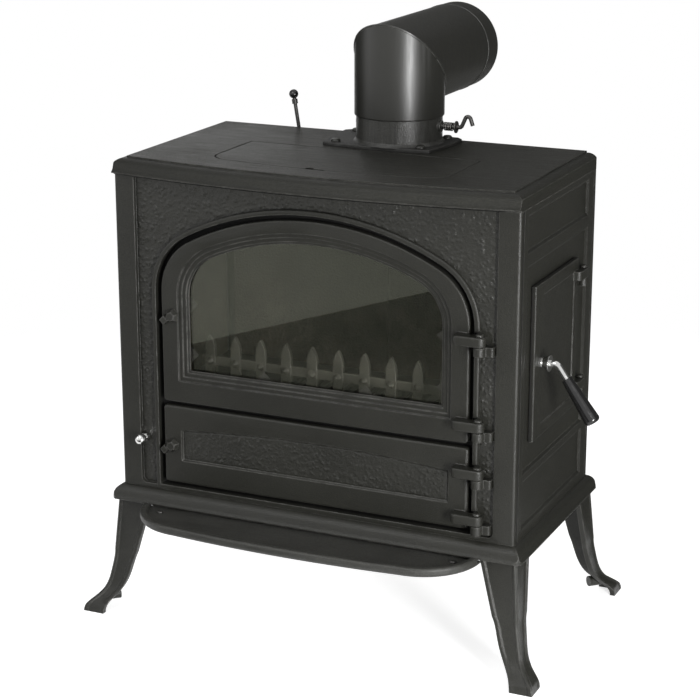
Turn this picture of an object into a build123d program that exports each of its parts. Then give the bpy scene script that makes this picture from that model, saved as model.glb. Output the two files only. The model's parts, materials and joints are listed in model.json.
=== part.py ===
from build123d import *
import math
import os

# A cast wood stove on four legs, millimetres.
# X runs to the viewer's right, Y to the back, Z up, and the floor is Z = 0.

# Driving dimensions of the body
BODY_W = 700.0
BODY_D = 360.0
BODY_Z = (222.0, 754.0)
TOP_Z = 783.0
WALL = 10.0
FRONT_T = 14.0
BODY_CORNER_R = 5.0
POST_W = 36.0
FIELD_DEPTH = 7.0
FIELD_RISE = 8.0
INNER_HALF = 336.0
INNER_Y = 166.0

HALF_W = BODY_W / 2
FRONT_Y = -BODY_D / 2
BACK_Y = BODY_D / 2
FIELD_Y = FRONT_Y + FIELD_DEPTH
FIELD_HALF = HALF_W - POST_W

# Mouldings of base and top: outset from the body and height, from the tip to the inner end
BASE_Z = 197.0
BASE_FLOOR_Z = 213.0
BASE_TIP = ((15.6, BASE_Z), (17.4, 198.3), (17.0, 200.6))
BASE_OGEE = ((17.0, 200.6), (14.0, 205.4), (12.6, 209.6), (10.2, 214.4), (5.8, 219.0), (0.2, BODY_Z[0]))
TOP_LIP_Z = 757.0
TOP_STEP_Z = 779.9
TOP_STEP = -17.0
TOP_BOW = 33.0
TOP_TIP = ((6.8, TOP_LIP_Z), (8.2, 758.1), (7.6, 759.6))
TOP_OGEE = ((7.6, 759.6), (2.4, 766.8), (0.0, 773.2), (-5.0, 777.7), (TOP_STEP, TOP_STEP_Z))
MOULDING_W = 24.0

# Three-centred arches: half width, apex height, crown radius, haunch radius
RIM_ARCH = (286.5, 724.6, 480.0, 115.0)
GLASS_ARCH = (222.0, 668.0, 430.0, 75.0)
BEAD_W = 8.0
BEAD_H = 7.5
JAMB_T = 6.0
OPENING_Z = 231.0

# Doors on the front
DOOR_INSET = 17.3
HALF_DOOR = RIM_ARCH[0] - DOOR_INSET
DOOR_Y = (-178.5, -162.5)
DOOR_CORNER_R = 6.0
FLANGE_Y = (-160.5, -152.5)
FIRE_DOOR_Z = 379.5
FIRE_HOLE_Z = 394.0
GLASS_Z = 434.0
GLASS_T = 4.0
GASKET_T = 1.5
ASH_DOOR_HALF = 270.5
ASH_DOOR_Z = (237.0, 372.0)
ASH_HOLE_HALF = 235.0
ASH_HOLE_Z = (258.0, 352.0)
ASH_PANEL_HALF = 238.0
ASH_PANEL_Z = (277.0, 330.5)
ASH_PANEL_RISE = 12.0
ASH_BACK_HALF = 224.0
ASH_BACK_Z = (263.0, 347.0)
SEAL_W = 6.0
SEAL_DEPTH = 3.0
SEAL_GAP = 0.4

# Front hinges: one line of pins for both doors
HINGE = (290.5, -190.0)
PIN_R = 4.0
RUN_FIT = 0.06
ARM_H = 16.0
EYE_R = 10.0
ARM_START_X = 248.0
ARM_SOFT = 2.4
FIRE_ARMS_Z = (413.5, 550.5)
ASH_ARMS_Z = (260.0, 336.0)
KNUCKLE_H = 15.0
KNUCKLE_R = 9.5
KNUCKLE_GAP = 0.5
LEAF_END_X = 312.0

# Latches of the two front doors: X and Z of the spindle
FIRE_LATCH = (-249.0, 527.0)
ASH_LATCH = (-254.0, 303.0)
LATCH_GAP = 0.4
SPINDLE_R = 5.0

# Clips that hold the glass
CLIP_HALF = 12.5
CLIP_T = 1.4
CLIP_Y = (DOOR_Y[1], DOOR_Y[1] + CLIP_T)
CLIP_SCREW_R = 2.0
CLIP_SCREW_OUT = 8.5
CLIP_SCREW_L = 7.0

# Side loading door
SIDE_FIELD = 4.0
SIDE_FIELD_Y = (-148.0, 145.0)
SIDE_FIELDS_Z = ((238.0, 318.0), (330.0, 664.0), (684.0, 744.0))
SIDE_DOOR_Y = (-118.0, 89.0)
SIDE_DOOR_Z = (374.5, 626.0)
SIDE_DOOR_X = (347.0, 355.0)
SIDE_HOLE_Y = (-109.0, 80.0)
SIDE_HOLE_Z = (384.0, 616.0)
SIDE_HINGE = (359.0, 101.0)
SIDE_EYE_R = 8.0
SIDE_EYES_Z = (413.5, 600.0)
SIDE_ARM_H = 15.0
SIDE_ARM_Y = 66.0
HANDLE_YZ = (-97.0, 501.0)
GRIP_BEND_X = 385.0
GRIP_DIR = Vector(0.575, 0, -0.818)
GRIP_START = Vector(GRIP_BEND_X, *HANDLE_YZ) + GRIP_DIR * 27
GRIP_L = 80.0

# Hot plate in the top
HOT_HALF = 206.0
HOT_Y = (-126.0, 30.0)
HOT_BOW = 20.0
HOT_CORNER_R = 40.0
HOT_T = 8.7
HOT_GAP = 1.8
HOT_LEDGE = 10.0
HOT_REST = 0.3

# Flue
FLUE_XY = (28.0, 112.0)
PIPE_R = 75.0
PIPE_T = 2.0
COLLAR_R = 72.0
COLLAR_BORE = 66.0
COLLAR_PLATE_X = 13.0
COLLAR_PLATE_HALF = 107.0
COLLAR_PLATE_Y = (47.0, 173.0)
COLLAR_PLATE_T = 6.0
COLLAR_FOOT = 5.0
COLLAR_BOLT_XY = ((-63.0, 57.0), (89.0, 57.0), (-70.0, 158.0), (96.0, 158.0))
COLLAR_BOLT_R = 4.0
PIPE_Z = 832.0
ELBOW_Z = 914.0
FLUE_END_Y = 374.0
SOCKET_L = 45.0
SOCKET_R = 73.6
DAMPER_Z = 818.0
DAMPER_R = 62.0
DAMPER_ROD_R = 4.0
BOSS_X = 104.0
BOSS_R = 9.5

# Spring on the damper spindle
SPRING_X = (BOSS_X + 0.5, BOSS_X + 24.5)
SPRING_R = 6.2
SPRING_WIRE_R = 1.0
SPRING_TURNS = 5
SPRING_PITCH = 2.9

# Air controls
AIR_KNOB_XZ = (-305.5, 311.0)
LEVER_PIVOT = (-176.0, 650.0)
LEVER_Y = 195.0
LEVER_L = 190.0
LEVER_LEAN = 9.4
LEVER_R = 3.2
LEVER_HUB_R = 11.0
SHUTTER_R = 40.0
SHUTTER_HOLE_R = 8.0
SHUTTER_HOLE_PCD_R = 25.0

# Inside
HEARTH_Z = (360.0, 372.0)
HEARTH_Y = 148.0
GRATE_HALF = 140.0
GRATE_Y = (-60.0, 110.0)
GRATE_T = 10.0
GRATE_SLOTS = 11
GRATE_PITCH = 23.0
PICKETS = 10
PICKET_PITCH = 46.5
PICKET_W = 18.0
FENCE_Y = -120.0
FENCE_TIP_Z = 486.0
RAIL_Z = (433.0, 449.0)
BRICK_T = 25.0
BRICK_TOP = 640.0
BAFFLE_T = 8.0
PAN_HALF = 228.0
PAN_Y = (-148.0, 138.0)
PAN_Z = (262.0, 345.0)
PAN_T = 2.0
TIE_XY = (326.0, 156.0)
TIE_R = 4.0
TIE_Z = 766.0

# Legs: height, outset of the corner edge from the body corner, length of each flange
LEG_TOP = (197.0, 7.5, 61.0)
LEG_SECTIONS = (
    (105.0, 15.0, 43.5),
    (65.0, 20.5, 36.0),
    (43.0, 26.5, 32.5),
    (27.0, 37.0, 32.0),
    (12.0, 52.0, 37.0),
    (0.0, 55.0, 38.0),
)
LEG_T = 9.0
LEG_RIDGE_W = 6.0
LEG_RIDGE_H = 2.0
LEG_BOLT_XY = (338.0, 168.0)
LEG_BOLT_R = 5.0
LEG_PAD_T = 9.0

# Ash shelf
SHELF_Z = (188.0, 203.0)
SHELF_HALF = 300.0
SHELF_Y = (-298.0, -177.0)
SHELF_BOW = 10.0
SHELF_CORNER_R = 100.0
SHELF_FLOOR = 6.0
SHELF_RIM = 12.0
SHELF_UNDER_Y = -204.0
SHELF_NOTCH = (290.0, -190.0)
SHELF_SCREW_XY = (262.0, -214.0)
SHELF_SCREW_R = 3.0


def block(x, y, z):
    """Box between three pairs of limits."""
    centre = Pos((x[0] + x[1]) / 2, (y[0] + y[1]) / 2, (z[0] + z[1]) / 2)
    return centre * Box(x[1] - x[0], y[1] - y[0], z[1] - z[0])


def rod(start, end, radius):
    """Round bar between two points."""
    axis = Vector(*end) - Vector(*start)
    return extrude(Plane(origin=start, z_dir=axis) * Circle(radius), amount=axis.length)


def from_front(face, y):
    """Prism of a face drawn in X and Z, between two depths."""
    return extrude(Plane.XZ.offset(-y[1]) * face, amount=y[1] - y[0])


def from_side(face, x):
    """Prism of a face drawn in Y and Z, between two X limits."""
    return extrude(Plane.YZ.offset(x[0]) * face, amount=x[1] - x[0])


def from_above(face, z):
    """Prism of a plan, between two heights."""
    return extrude(Plane.XY.offset(z[0]) * face, amount=z[1] - z[0])


def rect(x, y):
    """Rectangle between two pairs of limits."""
    centre = Pos((x[0] + x[1]) / 2, (y[0] + y[1]) / 2)
    return centre * Rectangle(x[1] - x[0], y[1] - y[0])


def arch(shape, grow, bottom):
    """Three-centred arch standing on a flat bottom, grown outwards by an amount."""
    half, apex, crown_r, haunch_r = (value + grow for value in shape)
    haunch_x = half - haunch_r
    reach = crown_r - haunch_r
    crown_z = apex - crown_r
    rise = math.sqrt(reach**2 - haunch_x**2)
    spring_z = crown_z + rise
    turn = math.atan2(rise, haunch_x)
    meet = (crown_r * haunch_x / reach, crown_z + crown_r * rise / reach)
    mid = (
        haunch_x + haunch_r * math.cos(turn / 2),
        spring_z + haunch_r * math.sin(turn / 2),
    )
    edges = [
        Line((-half, bottom), (half, bottom)),
        Line((half, bottom), (half, spring_z)),
        ThreePointArc((half, spring_z), mid, meet),
        ThreePointArc(meet, (0, apex), (-meet[0], meet[1])),
        ThreePointArc((-meet[0], meet[1]), (-mid[0], mid[1]), (-half, spring_z)),
        Line((-half, spring_z), (-half, bottom)),
    ]
    return make_face(edges)


def at_height(part, z):
    """Edges of a part that lie wholly at one height."""
    return [
        edge
        for edge in part.edges()
        if abs(edge.bounding_box().min.Z - z) < 1e-3
        and abs(edge.bounding_box().max.Z - z) < 1e-3
    ]


def front_edges(part, y):
    """Edges of a part that lie wholly at one depth."""
    return [
        edge
        for edge in part.edges()
        if abs(edge.bounding_box().min.Y - y) < 1e-3
        and abs(edge.bounding_box().max.Y - y) < 1e-3
    ]


def moulding_profile(tip, ogee, top_z, width):
    """Section of a moulding: flat underside, rounded tip, ogee, and a flat top."""
    low = tip[0][1]
    edges = [
        Line((-width, low), tip[0]),
        ThreePointArc(*tip),
        Spline(*ogee),
    ]
    end = ogee[-1]
    corners_in = [end, (end[0], top_z), (-width, top_z), (-width, low)]
    for a, b in zip(corners_in, corners_in[1:]):
        if a != b:
            edges.append(Line(a, b))
    return make_face(edges)


# Castings of the body


def base_plate():
    path = Polyline(
        (0, FRONT_Y),
        (-HALF_W, FRONT_Y),
        (-HALF_W, BACK_Y),
        (HALF_W, BACK_Y),
        (HALF_W, FRONT_Y),
        (0, FRONT_Y),
    )
    section = Plane(origin=(0, FRONT_Y, 0), x_dir=(0, -1, 0), z_dir=(-1, 0, 0))
    profile = section * moulding_profile(BASE_TIP, BASE_OGEE, BODY_Z[0], MOULDING_W)
    plate = sweep(profile, path=path, transition=Transition.RIGHT)
    inset = MOULDING_W - 1
    plate += block(
        (inset - HALF_W, HALF_W - inset), (FRONT_Y + inset, BACK_Y - inset), (BASE_Z, BODY_Z[0])
    )
    plate -= block((-INNER_HALF, INNER_HALF), (-INNER_Y, INNER_Y), (BASE_FLOOR_Z, BODY_Z[0] + 1))
    plate -= block((-330, 330), (-150, 150), (BASE_Z - 1, BASE_FLOOR_Z - 8))
    for x, y in corners(LEG_BOLT_XY):
        plate -= rod((x, y, BASE_Z - 1), (x, y, BASE_FLOOR_Z + 1), LEG_BOLT_R)
    return plate


def corners(xy):
    """The four points at plus and minus a pair of distances."""
    return [(sx * xy[0], sy * xy[1]) for sx in (-1, 1) for sy in (-1, 1)]


def knuckle_z(arm_z):
    """Lower and upper end of the fixed knuckle under a hinge arm."""
    top = arm_z - ARM_H / 2 - KNUCKLE_GAP
    return top - KNUCKLE_H, top


def front_plate():
    back = FRONT_Y + FRONT_T
    slab = block((-HALF_W, HALF_W), (FRONT_Y, back), BODY_Z)
    front_uprights = [e for e in slab.edges().filter_by(Axis.Z) if e.center().Y < FRONT_Y + 1]
    slab = fillet(front_uprights, BODY_CORNER_R)
    field = rect((-FIELD_HALF, FIELD_HALF), (BODY_Z[0] + FIELD_RISE, BODY_Z[1] + 2 * FIELD_RISE))
    field = fillet([v for v in field.vertices() if v.Y < BODY_Z[1]], FIELD_RISE)
    slab -= from_front(field, (FRONT_Y - 1, FIELD_Y))
    ring = arch(RIM_ARCH, JAMB_T - BEAD_W, BODY_Z[0] + 0.5)
    opening = arch(RIM_ARCH, -BEAD_W, OPENING_Z)
    frame = from_front(ring, (back - 1, FLANGE_Y[1]))
    bead_y = FIELD_Y - BEAD_H
    bead = from_front(arch(RIM_ARCH, 0, BODY_Z[0] + 2), (bead_y, FIELD_Y + 1))
    bead = fillet(front_edges(bead, bead_y), 2.8)
    for arm_z in FIRE_ARMS_Z + ASH_ARMS_Z:
        low = knuckle_z(arm_z)[0] - 2
        bead -= block((270, 300), (-200, FIELD_Y), (low, arm_z + ARM_H / 2 + 3))
    plate = slab + frame + bead
    through = (FLANGE_Y[0] - 1, FLANGE_Y[1] + 1)
    plate -= from_front(opening, (-200, FLANGE_Y[0]))
    plate -= from_front(arch(GLASS_ARCH, 12, FIRE_HOLE_Z), through)
    plate -= from_front(rect((-ASH_HOLE_HALF, ASH_HOLE_HALF), ASH_HOLE_Z), through)
    for arm_z in FIRE_ARMS_Z + ASH_ARMS_Z:
        plate += front_knuckle(knuckle_z(arm_z))
    for arm_z in FIRE_ARMS_Z + ASH_ARMS_Z:
        low, top = knuckle_z(arm_z)
        plate -= rod((*HINGE, low - 1), (*HINGE, top + 1), PIN_R)
    x, z = AIR_KNOB_XZ
    return plate - rod((x, FRONT_Y - 5, z), (x, back + 1, z), SPINDLE_R + RUN_FIT)


def front_knuckle(z):
    """Barrel on the hinge line with the leaf that carries it."""
    barrel = rod((*HINGE, z[0]), (*HINGE, z[1]), KNUCKLE_R)
    barrel = fillet(barrel.edges().filter_by(GeomType.CIRCLE), 1.6)
    leaf = block((HINGE[0], LEAF_END_X), (HINGE[1] + 2, FIELD_Y + 1), z)
    uprights = leaf.edges().filter_by(Axis.Z)
    outer = [e for e in uprights if e.center().X > LEAF_END_X - 1 and e.center().Y < FIELD_Y]
    return barrel + fillet(outer, 4)


def sunk_fields(plate, sign):
    """Cut the three bevelled fields into the outer face of a side plate."""
    outward = Plane(
        origin=(sign * HALF_W, 0, 0), x_dir=(0, sign, 0), z_dir=(sign, 0, 0)
    )
    y = sorted(sign * value for value in SIDE_FIELD_Y)
    for z in SIDE_FIELDS_Z:
        plate -= extrude(outward * rect(y, z), amount=-SIDE_FIELD, taper=45)
    return plate


def side_plate(sign):
    x = sorted((sign * (HALF_W - WALL), sign * HALF_W))
    plate = block(x, (FRONT_Y + FRONT_T, BACK_Y - WALL), BODY_Z)
    plate = sunk_fields(plate, sign)
    ledge_x = sorted((sign * (HALF_W - WALL - 12), sign * (HALF_W - WALL + 1)))
    return plate + block(ledge_x, (-150, 150), (HEARTH_Z[0] - 8, HEARTH_Z[0]))


def right_plate():
    plate = side_plate(1)
    plate += block((326, 341), (-50, 134), (BRICK_TOP - 8, BRICK_TOP))
    plate -= block((330, 360), SIDE_HOLE_Y, SIDE_HOLE_Z)
    for eye_z in SIDE_EYES_Z:
        low, top = side_knuckle_z(eye_z)
        plate += rod((*SIDE_HINGE, low), (*SIDE_HINGE, top), SIDE_EYE_R)
        plate += block((345, SIDE_HINGE[0]), (95, 120), (low, top))
    for eye_z in SIDE_EYES_Z:
        low, top = side_knuckle_z(eye_z)
        plate -= rod((*SIDE_HINGE, low - 1), (*SIDE_HINGE, top + 1), PIN_R)
    return plate


def side_knuckle_z(eye_z):
    top = eye_z - SIDE_ARM_H / 2 - KNUCKLE_GAP
    return top - SIDE_ARM_H, top


def back_plate():
    plate = block((-HALF_W, HALF_W), (BACK_Y - WALL, BACK_Y), BODY_Z)
    x, z = LEVER_PIVOT
    for hole_x, hole_z in shutter_holes():
        plate -= rod((hole_x, BACK_Y - 20, hole_z), (hole_x, BACK_Y + 5, hole_z), SHUTTER_HOLE_R)
    plate -= rod((x, BACK_Y - 20, z), (x, BACK_Y + 5, z), PIN_R)
    panel = rect((-300, 300), (290, 560))
    plate -= extrude(Plane.XZ.offset(-BACK_Y) * panel, amount=SIDE_FIELD, taper=45)
    return plate


def shutter_holes():
    """Centres of the three air holes round the lever's pivot."""
    x, z = LEVER_PIVOT
    angles = [math.radians(90 + 120 * k) for k in range(3)]
    return [
        (x + SHUTTER_HOLE_PCD_R * math.cos(a), z + SHUTTER_HOLE_PCD_R * math.sin(a))
        for a in angles
    ]


def top_outline(grow):
    """Plan of the top plate: straight sides, front bowed forwards, back flush with the body."""
    half = HALF_W + grow
    front = FRONT_Y - grow
    edges = [
        ThreePointArc((-half, front), (0, front - TOP_BOW), (half, front)),
        Line((half, front), (half, BACK_Y)),
        Line((half, BACK_Y), (-half, BACK_Y)),
        Line((-half, BACK_Y), (-half, front)),
    ]
    return make_face(edges)


def hot_outline(shrink):
    """Plan of the hot plate: straight back and sides, front bowed forwards."""
    half = HOT_HALF - shrink
    front = HOT_Y[0] + shrink
    back = HOT_Y[1] - shrink
    edges = [
        ThreePointArc((-half, front), (0, front - HOT_BOW), (half, front)),
        Line((half, front), (half, back)),
        Line((half, back), (-half, back)),
        Line((-half, back), (-half, front)),
    ]
    plan = make_face(edges)
    front_corners = [v for v in plan.vertices() if v.Y < front + 1]
    return fillet(front_corners, HOT_CORNER_R - shrink)


def top_slab():
    """Moulded slab of the top: what lies within the left, the right and the bowed front edge."""
    side = moulding_profile(TOP_TIP, TOP_OGEE, TOP_Z, BODY_W)
    left = extrude(
        Plane(origin=(-HALF_W, BACK_Y, 0), x_dir=(-1, 0, 0), z_dir=(0, 1, 0)) * side,
        amount=-BODY_W,
    )
    right = mirror(left, about=Plane.YZ)
    bow_r = (HALF_W**2 + TOP_BOW**2) / (2 * TOP_BOW)
    axis = Axis((0, FRONT_Y - TOP_BOW + bow_r, 0), (0, 0, 1))
    section = Plane(origin=(0, FRONT_Y - TOP_BOW, 0), x_dir=(0, -1, 0), z_dir=(-1, 0, 0))
    sweep_deg = 30.0
    front = revolve(section * side, axis=axis, revolution_arc=sweep_deg)
    front = front.rotate(axis, -sweep_deg / 2)
    return left & right & front


def top_plate():
    plate = top_slab() + from_above(top_outline(0), (BODY_Z[1], TOP_LIP_Z + 1))
    plate -= block((-INNER_HALF, INNER_HALF), (-INNER_Y, INNER_Y), (BODY_Z[1] - 1, TIE_Z))
    plate -= from_above(hot_outline(0), (TOP_Z - HOT_T - HOT_REST, TOP_Z + 1))
    plate -= from_above(hot_outline(HOT_LEDGE), (BODY_Z[1], TOP_Z))
    return plate - rod((*FLUE_XY, BODY_Z[1]), (*FLUE_XY, TOP_Z + 1), COLLAR_BORE)


def hot_plate():
    plate = from_above(hot_outline(HOT_GAP), (TOP_Z - HOT_T, TOP_Z))
    plate = fillet(at_height(plate, TOP_Z), 1)
    edge_y = HOT_Y[0] - HOT_BOW
    z = (TOP_Z - HOT_T - 1, TOP_Z + 1)
    grip = block((-25, -11), (edge_y - 5, edge_y + 13), z)
    grip = fillet([e for e in grip.edges().filter_by(Axis.Z) if e.center().Y > edge_y], 6)
    return plate - grip - block((-12, 9), (edge_y - 5, edge_y + 6), z)


# Legs and shelf


def leg_section(z, outset, length):
    """L section of the front right leg, with a ridge along each free edge."""
    x = HALF_W + outset
    y = FRONT_Y - outset
    edge = LEG_RIDGE_W
    slope = edge + 2
    sunk = LEG_RIDGE_H
    soft = 3.0
    points = [
        (x - soft, y),
        (x - edge, y),
        (x - slope, y + sunk),
        (x - length + slope, y + sunk),
        (x - length + edge, y),
        (x - length, y),
        (x - length, y + LEG_T),
        (x - LEG_T, y + LEG_T),
        (x - LEG_T, y + length),
        (x, y + length),
        (x, y + length - edge),
        (x - sunk, y + length - slope),
        (x - sunk, y + slope),
        (x, y + edge),
        (x, y + soft),
    ]
    return make_face(Plane.XY.offset(z) * Polyline(*points, close=True))


def front_right_leg():
    leg = loft([leg_section(*section) for section in LEG_SECTIONS])
    leg += loft([leg_section(*LEG_TOP), leg_section(*LEG_SECTIONS[0])], ruled=True)
    pad_z = (BASE_Z - LEG_PAD_T, BASE_Z)
    pad = make_face(Polyline((303, -177), (347, -177), (347, -133), close=True))
    leg += from_above(pad, pad_z)
    x, y = LEG_BOLT_XY
    leg -= rod((x, -y, pad_z[0] - 1), (x, -y, pad_z[1] + 1), LEG_BOLT_R)
    toe, heel, web_z = 25.0, 9.0, 23.0
    web = rod(
        (HALF_W + toe, FRONT_Y - toe, web_z), (HALF_W + heel, FRONT_Y - heel, web_z), LEG_T
    )
    return leg + web


def leg(sign_x, back):
    piece = front_right_leg()
    if sign_x < 0:
        piece = mirror(piece, about=Plane.YZ)
    if back:
        piece = mirror(piece, about=Plane.XZ)
    return piece


def leg_bolts():
    bolts = []
    seat = BASE_Z - LEG_PAD_T
    for x, y in corners(LEG_BOLT_XY):
        shank = rod((x, y, seat), (x, y, BASE_FLOOR_Z - 1), LEG_BOLT_R)
        head = from_above(Pos(x, y) * RegularPolygon(9, 6), (seat - 7, seat))
        bolts.append(shank + head)
    return bolts


def shelf_outline(shrink):
    """Plan of the ash shelf: rounded ends and a slightly bowed front."""
    half = SHELF_HALF - shrink
    front, back = SHELF_Y[0] + shrink, SHELF_Y[1]
    corner = SHELF_CORNER_R - shrink
    turn = corner * (1 - math.sqrt(0.5))
    side_y = front + SHELF_BOW
    edges = [
        Line((-half, back), (half, back)),
        Line((half, back), (half, side_y + corner)),
        ThreePointArc(
            (half, side_y + corner), (half - turn, side_y + turn), (half - corner, side_y)
        ),
        ThreePointArc((half - corner, side_y), (0, front), (corner - half, side_y)),
        ThreePointArc(
            (corner - half, side_y), (turn - half, side_y + turn), (-half, side_y + corner)
        ),
        Line((-half, side_y + corner), (-half, back)),
    ]
    return make_face(edges)


def ash_shelf():
    low, high = SHELF_Z
    floor_top = low + SHELF_FLOOR
    shelf = from_above(shelf_outline(0), SHELF_Z)
    outer = [e for e in at_height(shelf, low) if e.center().Y < SHELF_Y[1] - 1]
    shelf = fillet(outer, 6)
    shelf -= from_above(shelf_outline(SHELF_RIM), (floor_top, high + 1))
    shelf -= block((-400, 400), (SHELF_UNDER_Y, -150), (floor_top, high + 1))
    rim_edges = [e for e in at_height(shelf, high) if e.center().Y < SHELF_UNDER_Y - 0.5]
    shelf = fillet(rim_edges, 4)
    for sign in (-1, 1):
        x, y = sign * SHELF_SCREW_XY[0], SHELF_SCREW_XY[1]
        shelf -= rod((x, y, low - 1), (x, y, floor_top + 1), SHELF_SCREW_R)
        beside_leg = sorted((sign * SHELF_NOTCH[0], sign * (SHELF_HALF + 1)))
        shelf -= block(beside_leg, (SHELF_NOTCH[1], -150), (low - 1, high + 1))
    return shelf


def shelf_brackets():
    bars = []
    low = SHELF_Z[0]
    for sign in (-1, 1):
        screw_x, screw_y = sign * SHELF_SCREW_XY[0], SHELF_SCREW_XY[1]
        x = (screw_x - 8, screw_x + 8)
        bar = block(x, (screw_y - 6, -150), (low - 6, low))
        bar += block(x, (SHELF_Y[1] + 1, -150), (low - 1, BASE_Z))
        hole = rod((screw_x, screw_y, low - 7), (screw_x, screw_y, low + 1), SHELF_SCREW_R)
        bars.append(bar - hole)
    return bars


def shelf_screws():
    screws = []
    top = SHELF_Z[0] + SHELF_FLOOR
    for sign in (-1, 1):
        x, y = sign * SHELF_SCREW_XY[0], SHELF_SCREW_XY[1]
        head = rod((x, y, top), (x, y, top + 3), 5.5)
        head = fillet(at_height(head, top + 3), 2)
        screws.append(head + rod((x, y, SHELF_Z[0] - 9), (x, y, top + 1), SHELF_SCREW_R))
    return screws


# Flue


def collar_plan():
    """Plan of the collar's foot plate: bowed front, front corners drawn in."""
    mid, half = COLLAR_PLATE_X, COLLAR_PLATE_HALF
    front, back = COLLAR_PLATE_Y
    drawn_in, bow, cut = 12.0, 9.0, 10.0
    points = [
        (mid + half - drawn_in, front),
        (mid + half, FLUE_XY[1]),
        (mid + half, back - cut),
        (mid + half - cut, back),
        (mid - half + cut, back),
        (mid - half, back - cut),
        (mid - half, FLUE_XY[1]),
        (mid - half + drawn_in, front),
    ]
    edges = [Line(a, b) for a, b in zip(points, points[1:])]
    edges.append(ThreePointArc(points[-1], (mid, front - bow), points[0]))
    return make_face(edges)


def flue_collar():
    x, y = FLUE_XY
    foot_z = TOP_Z + COLLAR_PLATE_T
    plate = from_above(collar_plan(), (TOP_Z, foot_z))
    plate = fillet(at_height(plate, foot_z), 1.5)
    spigot = rod((x, y, TOP_Z), (x, y, PIPE_Z + 14), COLLAR_R)
    foot = Pos(x, y, foot_z + COLLAR_FOOT / 2 - 0.5) * Cone(
        COLLAR_R + COLLAR_FOOT, COLLAR_R, COLLAR_FOOT + 1
    )
    bosses = rod((x - COLLAR_R - 3, y, DAMPER_Z), (BOSS_X, y, DAMPER_Z), BOSS_R)
    collar = plate + foot + spigot + bosses
    collar -= rod((x, y, TOP_Z - 1), (x, y, PIPE_Z + 30), COLLAR_BORE)
    collar -= rod((x - 90, y, DAMPER_Z), (x + 90, y, DAMPER_Z), DAMPER_ROD_R + RUN_FIT)
    for bolt_x, bolt_y in COLLAR_BOLT_XY:
        collar -= rod((bolt_x, bolt_y, TOP_Z - 1), (bolt_x, bolt_y, foot_z + 9), COLLAR_BOLT_R)
    return collar


def collar_bolts():
    bolts = []
    seat = TOP_Z + COLLAR_PLATE_T
    for x, y in COLLAR_BOLT_XY:
        head = fillet(at_height(rod((x, y, seat), (x, y, seat + 5), 8), seat + 5), 3.5)
        bolts.append(head + rod((x, y, TOP_Z), (x, y, seat + 1), COLLAR_BOLT_R))
    return bolts


def flue_elbow():
    outer = mitred_pipe(PIPE_R)
    x, y = FLUE_XY
    mitre = Plane(origin=(x, y, ELBOW_Z), z_dir=(0, 1, 1))
    weld = extrude(mitre.offset(-1.5) * Rectangle(400, 400), amount=3)
    outer += mitred_pipe(PIPE_R + 1.2) & weld
    groove_y = FLUE_END_Y - SOCKET_L
    ring = rod((x, groove_y - 2, ELBOW_Z), (x, groove_y + 2, ELBOW_Z), PIPE_R + 0.8)
    outer += fillet(ring.edges().filter_by(GeomType.CIRCLE), 0.7)
    elbow = outer - mitred_pipe(PIPE_R - PIPE_T, over=2)
    elbow -= rod((x, groove_y, ELBOW_Z), (x, FLUE_END_Y + 2, ELBOW_Z), SOCKET_R)
    crimp = rod((x, y, PIPE_Z), (x, y, PIPE_Z + 4), PIPE_R)
    crimp = fillet(at_height(crimp, PIPE_Z), 2.5)
    crimp -= rod((x, y, PIPE_Z - 1), (x, y, PIPE_Z + 6), COLLAR_R)
    foot = rod((x, y, PIPE_Z - 1), (x, y, PIPE_Z + 3), PIPE_R + 5)
    return elbow - foot + crimp


def mitred_pipe(radius, over=0):
    """Solid of an upright and a level round bar that meet in a mitre, over-long by an amount."""
    x, y = FLUE_XY
    mitre = Plane(origin=(x, y, ELBOW_Z), z_dir=(0, 1, 1))
    beyond = extrude(mitre * Rectangle(600, 600), amount=600)
    upright = rod((x, y, PIPE_Z - over), (x, y, ELBOW_Z + 120), radius) - beyond
    level = rod((x, y - 120, ELBOW_Z), (x, FLUE_END_Y + over, ELBOW_Z), radius) & beyond
    return upright + level


def damper_plate():
    x, y = FLUE_XY
    disc = rod((x, y - 1.5, DAMPER_Z), (x, y + 1.5, DAMPER_Z), DAMPER_R)
    disc += rod((x - 58, y, DAMPER_Z), (x + 58, y, DAMPER_Z), DAMPER_ROD_R + 3)
    return disc - rod((x - 90, y, DAMPER_Z), (x + 90, y, DAMPER_Z), DAMPER_ROD_R)


def damper_spindle():
    x, y = FLUE_XY
    reach = SPRING_X[1]
    spindle = rod((x - COLLAR_R - 5, y, DAMPER_Z), (reach + 5, y, DAMPER_Z), DAMPER_ROD_R)
    points = [
        (reach + 1, y, DAMPER_Z),
        (reach + 10, y, DAMPER_Z),
        (reach + 22, y, DAMPER_Z + 27),
        (reach + 30, y, DAMPER_Z + 4),
    ]
    path = FilletPolyline(*points, radius=5)
    start = Plane(origin=path @ 0, z_dir=path % 0)
    return spindle + sweep(start * Circle(3.3), path=path)


def damper_washer():
    y = FLUE_XY[1]
    start = SPRING_X[1]
    washer = rod((start, y, DAMPER_Z), (start + 2, y, DAMPER_Z), 10)
    return washer - rod((start - 1, y, DAMPER_Z), (start + 3, y, DAMPER_Z), DAMPER_ROD_R)


def biarc(start, start_dir, end, end_dir):
    """Two arcs that join two points with the given directions."""
    gap = end - start
    both = start_dir + end_dir
    bend = 2 * (1 - start_dir.dot(end_dir))
    along = gap.dot(both)
    reach = (math.sqrt(along**2 + bend * gap.dot(gap)) - along) / bend
    joint = (start + end + (start_dir - end_dir) * reach) * 0.5
    first = TangentArc(start, joint, tangent=start_dir)
    second = TangentArc(joint, end, tangent=first % 1)
    return [first, second]


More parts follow.
